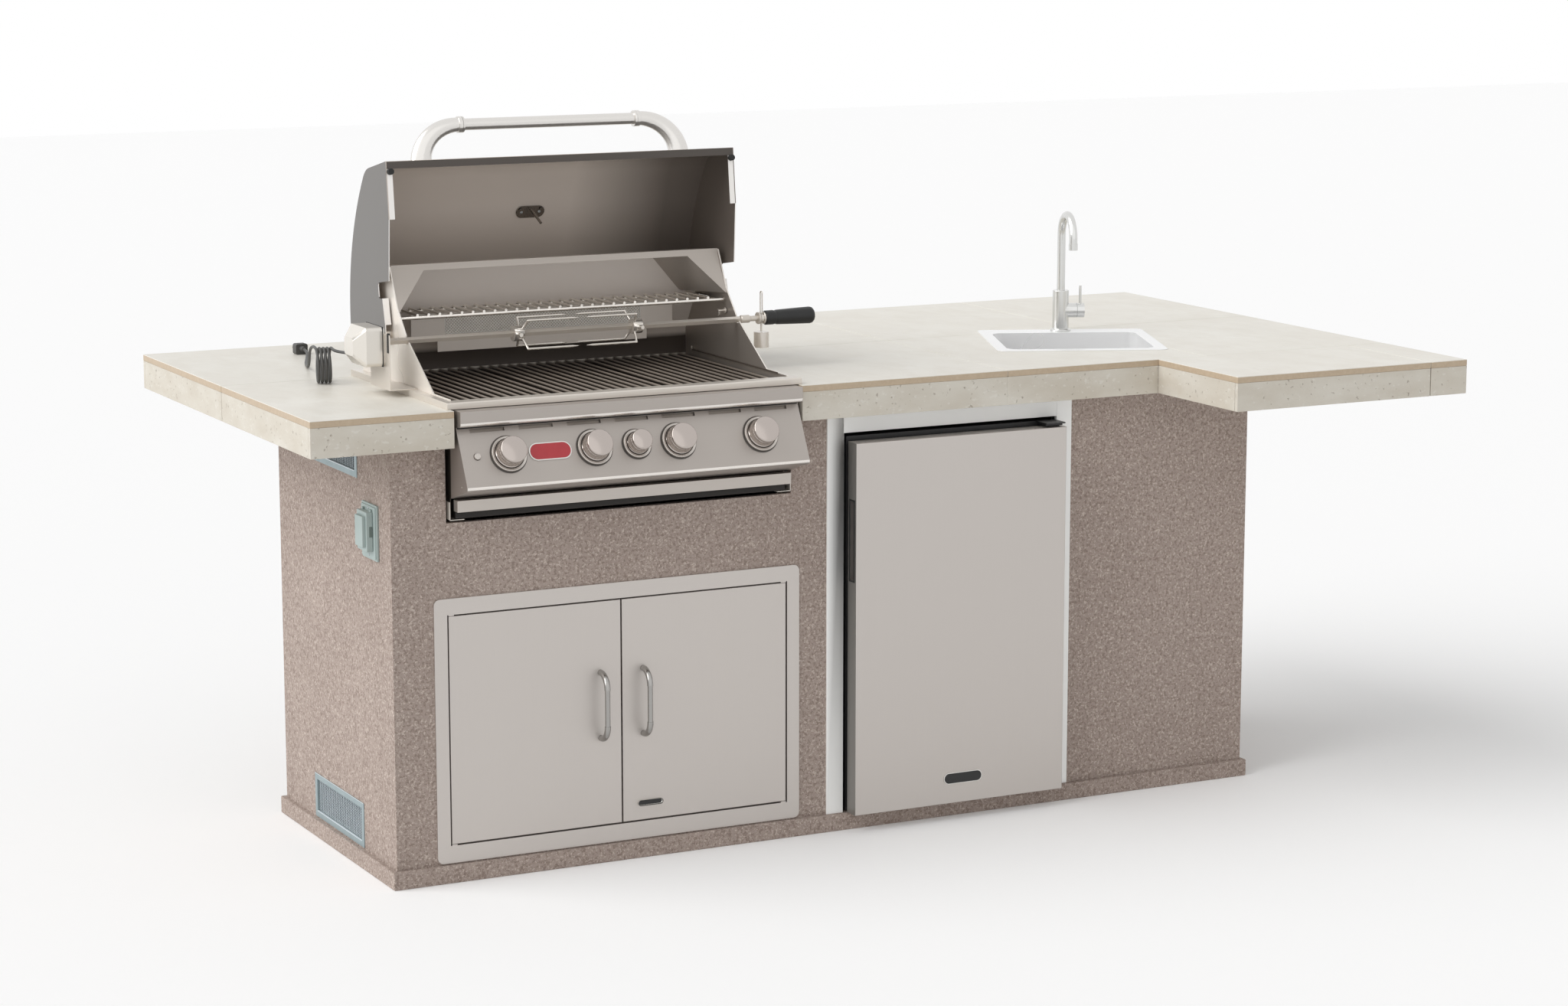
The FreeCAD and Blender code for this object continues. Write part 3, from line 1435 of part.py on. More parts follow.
def make_faucet_body():
    """Base ring, body and the side valve."""
    r = faucet_body_radius
    steps = [(0, 0), (faucet_base, 0), (faucet_base, 3), (faucet_base - 2, 5), (r, 6),
             (r, faucet_body_height - 1),
             (r - 1, faucet_body_height), (0, faucet_body_height)]
    body = turned(steps, V(0, 0, 0), up)
    valve = rod(V(0, 0, valve_height), V(valve_length, 0, valve_height), valve_radius)
    spindle = rod(V(valve_length - 1, 0, valve_height), V(valve_length + 10, 0, valve_height), 6.0)
    shank = rod(V(0, 0, 1), V(0, 0, -tile_thick - 30), spout_radius)
    socket = rod(V(0, 0, faucet_body_height - 30), V(0, 0, faucet_body_height + 1),
                 spout_radius + running_gap)
    return on_faucet(join(body, valve, spindle, shank).cut(socket))


def make_faucet_spout():
    """Gooseneck that turns in the body."""
    foot = V(0, 0, faucet_body_height - 29)
    rise = V(0, 0, faucet_body_height + spout_straight)
    over = rise + V(0, -spout_arch, spout_arch)
    down = rise + V(0, -2 * spout_arch, 0)
    edges = [Part.makeLine(foot, rise), Part.Arc(rise, over, down).toShape(),
             Part.makeLine(down, down - up * spout_drop)]
    neck = sweep(Part.Wire(edges), spout_radius)
    tip = rod(down - up * spout_drop, down - up * (spout_drop - 15), spout_radius + 0.8)
    outlet = rod(down - up * (spout_drop + 1), down - up * (spout_drop - 6), spout_radius - 2)
    spout = join(neck, tip).cut(outlet)
    spout.rotate(V(0, 0, 0), up, -spout_turn - sink_turn)
    return on_faucet(spout)


def make_faucet_lever():
    """Cap that turns on the valve's spindle, with an upright pin lever."""
    start = valve_length + seat_gap
    cap = rod(V(start, 0, valve_height), V(start + lever_cap, 0, valve_height), valve_radius)
    bore = rod(V(start - 1, 0, valve_height), V(start + 11, 0, valve_height), 6.0 + running_gap)
    pin = rod(V(start + lever_cap / 2, 0, valve_height),
              V(start + lever_cap / 2, 0, valve_height + lever_length),
              lever_radius)
    return on_faucet(join(cap, pin).cut(bore))


# Access doors

def hinge_point(side):
    """Plan position of a door's pin; side is -1 for the left door and 1 for the right."""
    edge = door_left if side < 0 else door_right
    return V(edge - side * door_pin_inset, door_front + door_pin_depth, 0)


def make_access_frame():
    """Flange on the wall with round corners, a folded recess that the doors close into against
    its back lip, and tabs with hinge pins in the gap above and below the doors."""
    plate = rounded_plate(door_frame_width, door_frame_height, door_frame_round, 0, frame_sheet)
    plate.rotate(V(0, 0, 0), across, 90)
    plate.translate(V(door_frame_x + door_frame_width / 2, 0, door_frame_z + door_frame_height / 2))
    stop = door_back + door_stop_gap
    throat = door_surround(door_gap + frame_sheet, -frame_sheet, stop + frame_sheet)
    recess = door_surround(door_gap, -frame_sheet - 1, stop)
    opening = door_surround(-door_lap, -frame_sheet - 1, stop + frame_sheet + 1)
    frame = join(plate, throat).cut([recess, opening])
    fittings = []
    for side in (-1, 1):
        pin = hinge_point(side)
        for z0, z1, reach in ((door_high + seat_gap, door_high + door_gap, -14),
                              (door_low - door_gap, door_low - seat_gap, 14)):
            fittings.append(block(pin.x - 6, pin.x + 6, pin.y - 4, pin.y + 5, z0, z1))
            middle = (z0 + z1) / 2
            fittings.append(rod(V(pin.x, pin.y, middle), V(pin.x, pin.y, middle + reach),
                                door_pin_radius))
    return join(frame, *fittings)


def make_access_door(side):
    """Folded panel with eased face edges, hollow at the back, and bores for its pins."""
    outer = door_left if side < 0 else door_right
    inner = door_middle + side * door_gap / 2
    x0 = min(outer, inner)
    x1 = max(outer, inner)
    panel = block(x0, x1, door_front, door_back, door_low, door_high)
    panel = round_edges(panel, door_edge_round, lambda p, e: abs(p.y - door_front) < 0.1)
    panel = round_edges(panel, 2 * door_edge_round, lambda p, e: abs(p.x - outer) < 0.1 and abs(
        p.y - door_back) < 0.1)
    rim = 16.0
    dish = block(x0 + rim, x1 - rim, door_front + 4, door_back + 1, door_low + rim, door_high - rim)
    pin = hinge_point(side)
    bores = [rod(V(pin.x, pin.y, door_high - 15), V(pin.x, pin.y, door_high + 1),
                 door_pin_radius + running_gap),
             rod(V(pin.x, pin.y, door_low - 1), V(pin.x, pin.y, door_low + 15),
                 door_pin_radius + running_gap)]
    return panel.cut([dish] + bores)


def make_door_handle(side):
    """Bow pull: two feet and an upright grip with a thinner middle."""
    x = door_middle + side * pull_offset
    half = pull_height / 2 - pull_radius - 2
    out = door_front - pull_standoff
    pieces = []
    for end in (-1, 1):
        z = pull_centre_z + end * half
        foot = V(x, door_front, z)
        knee = V(x, out + 14, z)
        bend_mid = V(x, out + 4, z - end * 4)
        bend_end = V(x, out, z - end * 14)
        edges = [Part.makeLine(foot, knee), Part.Arc(knee, bend_mid, bend_end).toShape(),
                 Part.makeLine(bend_end, V(x, out, z - end * 26))]
        pieces.append(sweep(Part.Wire(edges), pull_radius + 1.5))
        pieces.append(turned([(0, 0), (pull_radius + 5, 0), (pull_radius + 1.5, 5), (0, 5)], foot,
                             V(0, -1, 0)))
    grip = rod(V(x, out, pull_centre_z - half + 24), V(x, out, pull_centre_z + half - 24), pull_radius)
    return join(grip, *pieces)


# Fridge

def make_fridge_surround():
    """White frame of two posts and a header, butted at the corners."""
    front = -surround_proud
    left = surround_x
    right = surround_x + surround_width
    posts = [block(left, surround_inner_left, front, wall_sheet, plinth_height, wall_top),
             block(surround_inner_right, right, front, wall_sheet, plinth_height, wall_top)]
    header = block(surround_inner_left, surround_inner_right, front, wall_sheet,
                   wall_top - header_height, wall_top)
    return group(posts + [header])


cabinet_left = surround_inner_left + cabinet_inset
cabinet_right = surround_inner_right - cabinet_inset
fridge_door_left = surround_inner_left + fridge_door_gap_left
fridge_door_right = surround_inner_right - fridge_gap
fridge_door_back = fridge_front + fridge_door_thick
fridge_pin = V(fridge_door_right - 12, fridge_front + 20, 0)


def make_fridge_cabinet():
    """Insulated box on four feet, with the compressor step at the back and the hinge arms."""
    shell = block(cabinet_left, cabinet_right, 0, cabinet_depth, cabinet_low, cabinet_high)
    wall = cabinet_wall
    hollow = block(cabinet_left + wall, cabinet_right - wall, -1, cabinet_depth - wall,
                   cabinet_low + wall, cabinet_high - wall)
    step = block(cabinet_left + wall - 1, cabinet_right - wall + 1, cabinet_depth - 180,
                 cabinet_depth - wall + 1,
                 cabinet_low + wall - 1, cabinet_low + 190)
    feet = []
    for x in (cabinet_left + 40, cabinet_right - 40):
        for y in (60, cabinet_depth - 60):
            feet.append(rod(V(x, y, plinth_height), V(x, y, cabinet_low + 1), 16.0))
    arm_z = fridge_door_high + 2
    arm = block(fridge_pin.x - 34, fridge_pin.x + 8, fridge_pin.y - 8, 1, arm_z, arm_z + 4)
    arm_pin = rod(V(fridge_pin.x, fridge_pin.y, arm_z + 1), V(fridge_pin.x, fridge_pin.y, arm_z - 16),
                  4.0)
    return join(shell.cut(hollow), step, arm, arm_pin, *feet)


def make_fridge_door():
    """Door slab with a finger pocket in its free edge and a bore for the top pin."""
    slab = block(fridge_door_left, fridge_door_right, fridge_front, fridge_door_back,
                 fridge_door_low, fridge_door_high)
    slab = round_edges(slab, 2.0, lambda p, e: abs(p.y - fridge_front) < 0.1)
    pocket = block(fridge_door_left - 1, fridge_door_left + 26, fridge_front + 8, fridge_front + 30,
                   pocket_low, pocket_high)
    bore = rod(V(fridge_pin.x, fridge_pin.y, fridge_door_high - 15),
               V(fridge_pin.x, fridge_pin.y, fridge_door_high + 1), 4.0 + running_gap)
    return slab.cut([pocket, bore])


def make_fridge_gasket():
    """Seal ring on the door's back."""
    edge = 10.0
    x0 = fridge_door_left + edge
    x1 = fridge_door_right - edge
    z0 = fridge_door_low + edge
    z1 = fridge_door_high - edge
    w = gasket_width
    outer = block(x0, x1, fridge_door_back, -fridge_gap, z0, z1)
    return outer.cut(block(x0 + w, x1 - w, fridge_door_back - 1, 0, z0 + w, z1 - w))


shelf_heights = [250.0, 440.0, 630.0]


def make_fridge_shelves():
    """Three plates, each with a front bar, held between the cabinet walls."""
    shelves = []
    x0 = cabinet_left + cabinet_wall
    x1 = cabinet_right - cabinet_wall
    for z in shelf_heights:
        plate = block(x0, x1, 30, cabinet_depth - cabinet_wall - 20, z, z + 5)
        bar = block(x0, x1, 22, 30, z - 4, z + 9)
        shelves.append(join(plate, bar))
    return group(shelves)


# Left wall fittings

outlet_plate_thick = 12.0
cover_hinge = V(-outlet_plate_thick - 8.0, 0, outlet_z + outlet_height - 6)
cover_pin = 2.0


def make_outlet_plate():
    """Plate with the box behind it, two sockets and a hinge pin for the cover."""
    y1 = outlet_y + outlet_width
    plate = block(-outlet_plate_thick, 0, outlet_y, y1, outlet_z, outlet_z + outlet_height)
    plate = round_edges(plate, 3.0, lambda p, e: abs(p.x + outlet_plate_thick) < 0.1)
    back = block(0, 45, outlet_y + vent_lap, y1 - vent_lap, outlet_z + vent_lap,
                 outlet_z + outlet_height - vent_lap)
    middle = outlet_y + outlet_width / 2
    slots = []
    for z in (outlet_z + 38, outlet_z + 74):
        for y in (-6.5, 6.5):
            slots.append(block(-outlet_plate_thick - 1, 10, middle + y - 1.2, middle + y + 1.2, z - 4,
                               z + 4))
    ears = []
    for y in (outlet_y + 6, y1 - 12):
        ears.append(block(cover_hinge.x - 3, -outlet_plate_thick + 1, y, y + 6, cover_hinge.z - 3,
                          cover_hinge.z + 3))
    pin = rod(V(cover_hinge.x, outlet_y + 8, cover_hinge.z), V(cover_hinge.x, y1 - 8, cover_hinge.z),
              cover_pin)
    return join(plate, back, pin, *ears).cut(slots)


def make_outlet_cover():
    """Hollow flap that hangs from its pin over the sockets."""
    y0 = outlet_y + 14
    y1 = outlet_y + outlet_width - 14
    front = -outlet_plate_thick - 20
    back = -outlet_plate_thick - seat_gap
    low = outlet_z + 8
    high = cover_hinge.z + 4
    shell = block(front, back, y0, y1, low, high)
    shell = round_edges(shell, 4.0, lambda p, e: abs(p.x - front) < 0.1)
    hollow = block(front + 2.5, back + 1, y0 + 2.5, y1 - 2.5, low + 2.5, high - 10)
    bore = rod(V(cover_hinge.x, y0 - 1, cover_hinge.z), V(cover_hinge.x, y1 + 1, cover_hinge.z),
               cover_pin + running_gap)
    relief = block(cover_hinge.x + 2.5, back + 1, y0 - 1, y1 + 1, cover_hinge.z, high + 1)
    return shell.cut([hollow, bore, relief])


def make_side_vents():
    """Two flanged frames with a row of upright bars."""
    vents = []
    for z, height in ((low_vent_z, low_vent_height), (high_vent_z, high_vent_height)):
        y1 = vent_y + vent_width
        flange = block(-2, 0, vent_y, y1, z, z + height)
        throat = block(0, wall_sheet, vent_y + vent_lap, y1 - vent_lap, z + vent_lap,
                       z + height - vent_lap)
        frame = join(flange, throat)
        lap = vent_lap + 2
        opening = block(-3, wall_sheet + 1, vent_y + lap, y1 - lap, z + lap, z + height - lap)
        frame = frame.cut(opening)
        span = vent_width - 2 * lap
        bars = []
        for i in range(vent_bar_count):
            y = vent_y + lap + span * (i + 0.5) / vent_bar_count
            bars.append(block(2, 4, y - 1.2, y + 1.2, z + lap - 1, z + height - lap + 1))
        vents.append(join(frame, *bars))
    return group(vents)


# Save every piece under its own name

def save(name, shape):
    moved = shape.copy()
    moved.translate(origin * -1)
    moved.exportStep("parts/" + name + ".step")


def main():
    os.makedirs("parts", exist_ok=True)
    motor_route, plug_route = cord_routes()
    pieces = {
        "plinth": make_plinth(),
        "front_wall": make_front_wall(),
        "left_wall": make_left_wall(),
        "right_wall": make_right_wall(),
        "back_wall": make_back_wall(),
        "stud_frame": make_stud_frame(),
        "counter_core": make_counter_core(),
        "counter_tiles": make_counter_tiles(),
        "apron_tiles": make_apron_tiles(),
        "grill_trim": make_grill_trim(),
        "firebox": make_firebox(),
        "side_plates": make_side_plates(),
        "rear_hood": make_rear_hood(),
        "rear_burner": make_rear_burner(),
        "warming_rack": make_warming_rack(),
        "cooking_grates": make_cooking_grates(),
        "heat_baffles": make_heat_baffles(),
        "main_burners": make_main_burners(),
        "gas_manifold": make_gas_manifold(),
        "control_panel": make_control_panel(),
        "knob_bezels": make_knob_bezels(),
        "igniter_button": make_igniter_button(),
        "drip_tray": make_drip_tray(),
        "lid_shell": make_lid_shell(),
        "lid_handle": make_lid_handle(),
        "lid_bumpers": make_lid_bumpers(),
        "lid_thermometer": make_lid_thermometer(),
        "spit_rod": make_spit_rod(),
        "spit_forks": make_spit_forks(),
        "spit_grip": make_spit_grip(),
        "counterweight": make_counterweight(),
        "motor_bracket": make_motor_bracket(),
        "motor_housing": make_motor_housing(),
        "motor_cord": cord_run("motor cord", motor_route),
        "cord_coil": make_cord_coil(),
        "plug_cord": cord_run("plug cord", plug_route),
        "cord_plug": make_cord_plug(),
        "sink_bowl": make_sink_bowl(),
        "sink_drain": make_sink_drain(),
        "faucet_body": make_faucet_body(),
        "faucet_spout": make_faucet_spout(),
        "faucet_lever": make_faucet_lever(),
        "access_frame": make_access_frame(),
        "left_door": make_access_door(-1),
        "right_door": make_access_door(1),
        "left_door_handle": make_door_handle(-1),
        "right_door_handle": make_door_handle(1),
        "fridge_surround": make_fridge_surround(),
        "fridge_cabinet": make_fridge_cabinet(),
        "fridge_door": make_fridge_door(),
        "fridge_gasket": make_fridge_gasket(),
        "fridge_shelves": make_fridge_shelves(),
        "outlet_plate": make_outlet_plate(),
        "outlet_cover": make_outlet_cover(),
        "side_vents": make_side_vents(),
    }
    for number, x in enumerate(knob_rows, start=1):
        pieces["knob_%d" % number] = make_knob(x)
    for name, shape in pieces.items():
        save(name, shape)
    print(len(pieces), "pieces")


main()
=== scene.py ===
import json
import math
import bmesh
import bpy
from mathutils import Matrix, Vector

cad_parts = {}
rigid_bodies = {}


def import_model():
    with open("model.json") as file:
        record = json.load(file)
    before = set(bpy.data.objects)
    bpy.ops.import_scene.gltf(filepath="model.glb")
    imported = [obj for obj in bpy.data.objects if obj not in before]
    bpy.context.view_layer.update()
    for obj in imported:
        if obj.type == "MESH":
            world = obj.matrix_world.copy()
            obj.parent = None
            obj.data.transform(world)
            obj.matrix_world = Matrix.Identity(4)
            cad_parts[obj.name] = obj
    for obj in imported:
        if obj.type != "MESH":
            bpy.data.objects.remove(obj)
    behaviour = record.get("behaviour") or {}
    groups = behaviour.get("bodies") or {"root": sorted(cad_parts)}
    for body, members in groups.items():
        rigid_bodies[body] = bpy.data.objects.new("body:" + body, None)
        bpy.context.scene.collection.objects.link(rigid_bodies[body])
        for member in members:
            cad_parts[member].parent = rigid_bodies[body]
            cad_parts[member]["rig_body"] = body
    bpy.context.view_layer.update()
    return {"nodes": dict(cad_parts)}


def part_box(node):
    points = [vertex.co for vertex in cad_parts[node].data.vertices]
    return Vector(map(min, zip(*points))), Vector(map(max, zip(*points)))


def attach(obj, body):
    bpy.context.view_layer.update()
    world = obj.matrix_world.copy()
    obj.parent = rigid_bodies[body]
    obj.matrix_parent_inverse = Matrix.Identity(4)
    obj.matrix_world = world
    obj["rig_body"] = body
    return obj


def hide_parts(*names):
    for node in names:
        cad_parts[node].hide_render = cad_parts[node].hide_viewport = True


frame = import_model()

for item in bpy.context.selected_objects:
    item.select_set(False)

# Places are given in millimetres from the front left corner of the walls at floor level,
# X to the right, Y to the back, Z up, the way the island is set out on a patio.
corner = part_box("front_wall")[0]
counter_top = 994


def at(x, y, z):
    return Vector((corner.x + x / 1000, corner.y + y / 1000, z / 1000))


def stand(item, place, across, along, out):
    """Put an item at a place, with its own three axes pointing the given ways."""
    item.matrix_world = Matrix.Translation(place) @ Matrix((across, along, out)).transposed().to_4x4()


# The camera stands in front and to the left, a little above the open lid, and looks slightly
# down at the island through a long lens.
bpy.ops.object.camera_add(location=at(-2543.1, -6738.9, 2089.5))
camera = bpy.context.object
yaw, pitch = 0.4714, -0.1772
ahead = Vector((math.sin(yaw) * math.cos(pitch), math.cos(yaw) * math.cos(pitch), math.sin(pitch)))
right = Vector((math.cos(yaw), -math.sin(yaw), 0))
stand(camera, camera.location.copy(), right, right.cross(ahead), -ahead)
camera.data.sensor_width = 36
camera.data.lens = 82.77
camera.data.clip_end = 60
bpy.context.scene.camera = camera
bpy.context.scene.view_settings.view_transform = "Standard"


# Finishes: every material is worked out from where the surface is, as a plain sum of shader
# values, so each socket is wrapped and its sums add the Math nodes.
class Value:
    def __init__(self, finish, socket):
        self.finish, self.socket = finish, socket

    def sum(self, operation, a, b):
        return self.finish.node("ShaderNodeMath", {"operation": operation}, a, b)

    def __add__(self, other):
        return self.sum("ADD", self, other)

    def __mul__(self, other):
        return self.sum("MULTIPLY", self, other)

    def __gt__(self, other):
        return self.sum("GREATER_THAN", self, other)

    __radd__ = __add__
    __rmul__ = __mul__


def paint(red, green, blue):
    """Screen colour, 0 to 255, as the shader's linear colour."""
    return tuple(((c / 255 + 0.055) / 1.055) ** 2.4 for c in (red, green, blue)) + (1,)


class Finish:
    def __init__(self, name, colour, rough, metal=0.0, coat=0.0):
        self.material = bpy.data.materials.new(name)
        self.material.use_nodes = True
        self.tree = self.material.node_tree
        self.shader = self.tree.nodes["Principled BSDF"]
        self.shader.inputs["Base Color"].default_value = colour
        self.shader.inputs["Roughness"].default_value = rough
        self.shader.inputs["Metallic"].default_value = metal
        self.shader.inputs["Coat Weight"].default_value = coat
        self.place = self.node("ShaderNodeTexCoord", {}, out=3)

    def node(self, kind, settings, *inputs, out=0, **named):
        made = self.tree.nodes.new(kind)
        for key, value in settings.items():
            setattr(made, key, value)
        sockets = list(zip(made.inputs, inputs))
        sockets += [(made.inputs[key], value) for key, value in named.items()]
        for socket, value in sockets:
            self.feed(socket, value)
        return Value(self, made.outputs[out])

    def feed(self, socket, value):
        if isinstance(value, Value):
            self.tree.links.new(value.socket, socket)
        elif value is not None:
            socket.default_value = value

    def noise(self, scale, detail=3.0, stretch=(1, 1, 1), rough=0.55):
        moved = self.node("ShaderNodeMapping", {}, self.place, Scale=stretch)
        return self.node("ShaderNodeTexNoise", {}, Vector=moved, Scale=scale, Detail=detail,
                         Roughness=rough)

    def cells(self, scale):
        return self.node("ShaderNodeTexVoronoi", {}, Vector=self.place, Scale=scale)

    def along(self, axis):
        return self.node("ShaderNodeSeparateXYZ", {}, self.place, out="XYZ".index(axis))

    def spread(self, value, low, high, to_low=0.0, to_high=1.0):
        return self.node("ShaderNodeMapRange", {"clamp": True}, value, low, high, to_low, to_high)

    def mix(self, share, first, second):
        made = self.tree.nodes.new("ShaderNodeMix")
        made.data_type = "RGBA"
        for index, value in ((0, share), (6, first), (7, second)):
            self.feed(made.inputs[index], value)
        return Value(self, made.outputs[2])

    def colour(self, value):
        self.feed(self.shader.inputs["Base Color"], value)

    def rough(self, value):
        self.feed(self.shader.inputs["Roughness"], value)

    def bump(self, height, depth):
        made = self.node("ShaderNodeBump", {}, Height=height, Distance=depth, Strength=1.0)
        self.feed(self.shader.inputs["Normal"], made)


# The floor is a pale seamless sweep of painted board. It takes the island's shadow and gives a
# little light of its own, so that it runs into the white room without an edge.
floor_paint = Finish("studio_floor", paint(246, 246, 246), 0.9)
bpy.ops.mesh.primitive_grid_add(x_subdivisions=4, y_subdivisions=4, size=40, location=(0, 0, 0))
studio_floor = bpy.context.object
studio_floor.name = "studio_floor"
studio_floor.data.materials.append(floor_paint.material)
floor_paint.feed(floor_paint.shader.inputs["Emission Color"], paint(255, 255, 255))
floor_paint.shader.inputs["Emission Strength"].default_value = 0.07

# An even white room is around it all, seen at full strength straight, in gloss and through
# glass, and at half strength as the light that falls on the island.
room = bpy.context.scene.world or bpy.data.worlds.new("room")
bpy.context.scene.world = room
room.use_nodes = True
room.node_tree.nodes.clear()


def room_node(kind, *feeds, **settings):
    """Node of the room's light, its sockets fed in order by other nodes or plain values."""
    made = room.node_tree.nodes.new(kind)
    for key, value in settings.items():
        setattr(made, key, value)
    for socket, feed in zip(made.inputs, feeds):
        if isinstance(feed, bpy.types.NodeSocket):
            room.node_tree.links.new(feed, socket)
        else:
            socket.default_value = feed
    return made.outputs[0]


rays = room.node_tree.nodes.new("ShaderNodeLightPath").outputs
seen = room_node("ShaderNodeMath", rays["Is Camera Ray"], rays["Is Glossy Ray"], operation="MAXIMUM")
seen = room_node("ShaderNodeMath", seen, rays["Is Transmission Ray"], operation="MAXIMUM")
room_fill = room_node("ShaderNodeBackground", (1, 1, 1, 1), 0.50)
room_white = room_node("ShaderNodeBackground", (1, 1, 1, 1), 1.0)
room_light = room_node("ShaderNodeMixShader", seen, room_fill, room_white)
room_out = room.node_tree.nodes.new("ShaderNodeOutputWorld")
room.node_tree.links.new(room_light, room_out.inputs["Surface"])

# Two very broad soft lamps: the main one high on the left, a little behind the island, and a
# weak one in front that opens up the shade on the walls and doors.
for place, energy, breadth, towards in (((-4000, -1500, 4000), 2.2, 60, (-0.80, 0.10, 0.60)),
                                        ((-1500, -4000, 3000), 0.23, 70, (-0.25, -0.85, 0.42))):
    bpy.ops.object.light_add(type="SUN", location=at(*place))
    lamp = bpy.context.object
    lamp.data.energy = energy
    lamp.data.angle = math.radians(breadth)
    lamp.rotation_mode = "QUATERNION"
    lamp.rotation_quaternion = Vector(towards).to_track_quat("Z", "Y")


# The cord is one length of round three-core flex in a dark grey jacket: it leaves the motor's
# back, hangs in a small dip, is wound in four turns that stand on the counter, and its tail
# runs down to the plug lying behind.
def mottled(name, dark, light, rough, scale, detail=3.0, metal=0.0, coat=0.0, grain=None):
    """Finish that drifts between two tones, with a fine grain (scale, detail, depth) if it has one."""
    made = Finish(name, dark, rough, metal, coat)
    made.colour(made.mix(made.noise(scale, detail), dark, light))
    if grain:
        made.bump(made.noise(grain[0], grain[1]), grain[2])
    return made


cord_jacket = mottled("cord_jacket", paint(62, 62, 61), paint(88, 87, 85), 0.52, 900, 2,
                      grain=(900, 2, 0.0001))

cord_radius, coil_radius, coil_pitch, coil_turns = 3.25, 35.5, 8.2, 4
coil_axis = Vector((math.cos(math.radians(-14)), math.sin(math.radians(-14)), 0))
coil_side = Vector((-coil_axis.y, coil_axis.x, 0))
coil_middle = Vector((22, 437, counter_top + coil_radius + cord_radius))


def coil_point(turns, radius):
    angle = 2 * math.pi * turns
    return (coil_middle + coil_axis * (coil_pitch * (coil_turns / 2 - turns))
            + coil_side * (radius * math.sin(angle)) + Vector((0, 0, radius * math.cos(angle))))


def coil_heading(turns):
    return (coil_point(turns + 0.001, coil_radius) - coil_point(turns - 0.001, coil_radius)).normalized()


# The first and last turn run on a little along the coil's heading before the flex turns away.
# A curve runs slightly inside its points, so the coil's points stand out by that share.
run_on, away_before, away_after, points_a_turn, inside_share = 6.5, 42, 36, 16, 0.985
lead_in = coil_point(0, coil_radius) - coil_heading(0) * run_on
lead_out = coil_point(coil_turns, coil_radius) + coil_heading(coil_turns) * run_on
cord_exit = Vector((46, 302, 1070))
lying = counter_top + cord_radius + 0.2
plug_end = Vector((130, 868, 1007))
cord_points = [cord_exit, cord_exit + Vector((-2, 50, -3)), lead_in - coil_heading(0) * away_before]
cord_points += [coil_point(i / points_a_turn, coil_radius / inside_share)
                for i in range(points_a_turn * coil_turns + 1)]
cord_points += [lead_out + coil_heading(coil_turns) * away_after, Vector((24, 530, 1054)),
                Vector((44, 590, 1020)), Vector((62, 650, lying)), Vector((80, 716, lying)),
                Vector((106, 782, lying)), plug_end + Vector((-4, -36, 0)), plug_end]
cord_line = bpy.data.curves.new("cord", "CURVE")
cord_line.dimensions = "3D"
cord_spline = cord_line.splines.new("NURBS")
cord_spline.points.add(len(cord_points) - 1)
for point, place in zip(cord_spline.points, cord_points):
    point.co = (*at(*place), 1)
cord_spline.order_u = 3
cord_spline.use_endpoint_u = True
cord_line.resolution_u = 6
cord_line.bevel_depth = cord_radius / 1000
cord_line.bevel_resolution = 4
cord_line.use_fill_caps = True
cord = bpy.data.objects.new("cord", cord_line)
bpy.context.scene.collection.objects.link(cord)
cord.data.materials.append(cord_jacket.material)
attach(cord, "island")
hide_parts("motor_cord", "cord_coil", "plug_cord")


# The plug is moulded on the cord's far end in the same jacket plastic. As with the other pieces
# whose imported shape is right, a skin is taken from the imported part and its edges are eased.
def alone(item):
    for other in bpy.context.selected_objects:
        other.select_set(False)
    item.select_set(True)
    bpy.context.view_layer.objects.active = item


def modify(item, kind, **settings):
    alone(item)
    made = item.modifiers.new(kind.lower(), kind)
    for key, value in settings.items():
        setattr(made, key, value)
    bpy.ops.object.modifier_apply(modifier=made.name)


def settle(item, name, finish, body, replaces=(), smooth=35):
    alone(item)
    item.name = name
    item.data.name = name
    bpy.ops.object.transform_apply(location=True, rotation=True, scale=True)
    item.data.materials.clear()
    item.data.materials.append(finish.material)
    if smooth:
        bpy.ops.object.shade_smooth_by_angle(angle=math.radians(smooth))
        modify(item, "WEIGHTED_NORMAL", mode="FACE_AREA_WITH_ANGLE", keep_sharp=True)
    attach(item, body)
    if replaces:
        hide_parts(*replaces)
    return item


def edit(item, work):
    alone(item)
    bpy.ops.object.mode_set(mode="EDIT")
    bpy.ops.mesh.select_all(action="SELECT")
    work()
    bpy.ops.object.mode_set(mode="OBJECT")


weld, flat_within, sharp_from = 0.00002, math.radians(0.4), math.radians(38)


def eased(node, finish, soften=0.5, smooth=40, steps=2):
    """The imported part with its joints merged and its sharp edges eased, in a new skin."""
    part = frame["nodes"][node]
    skin = part.copy()
    skin.data = part.data.copy()
    skin.parent = None
    for key in list(skin.keys()):
        del skin[key]
    bpy.context.scene.collection.objects.link(skin)
    edit(skin, lambda: (bpy.ops.mesh.remove_doubles(threshold=weld),
                        bpy.ops.mesh.dissolve_limited(angle_limit=flat_within)))
    if soften:
        modify(skin, "BEVEL", width=soften / 1000, segments=steps, limit_method="ANGLE",
               angle_limit=sharp_from, use_clamp_overlap=True)
    return settle(skin, node + "_skin", finish, part["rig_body"], (node,), smooth)


plug = eased("cord_plug", cord_jacket, 0.8)
at(*cord_exit)


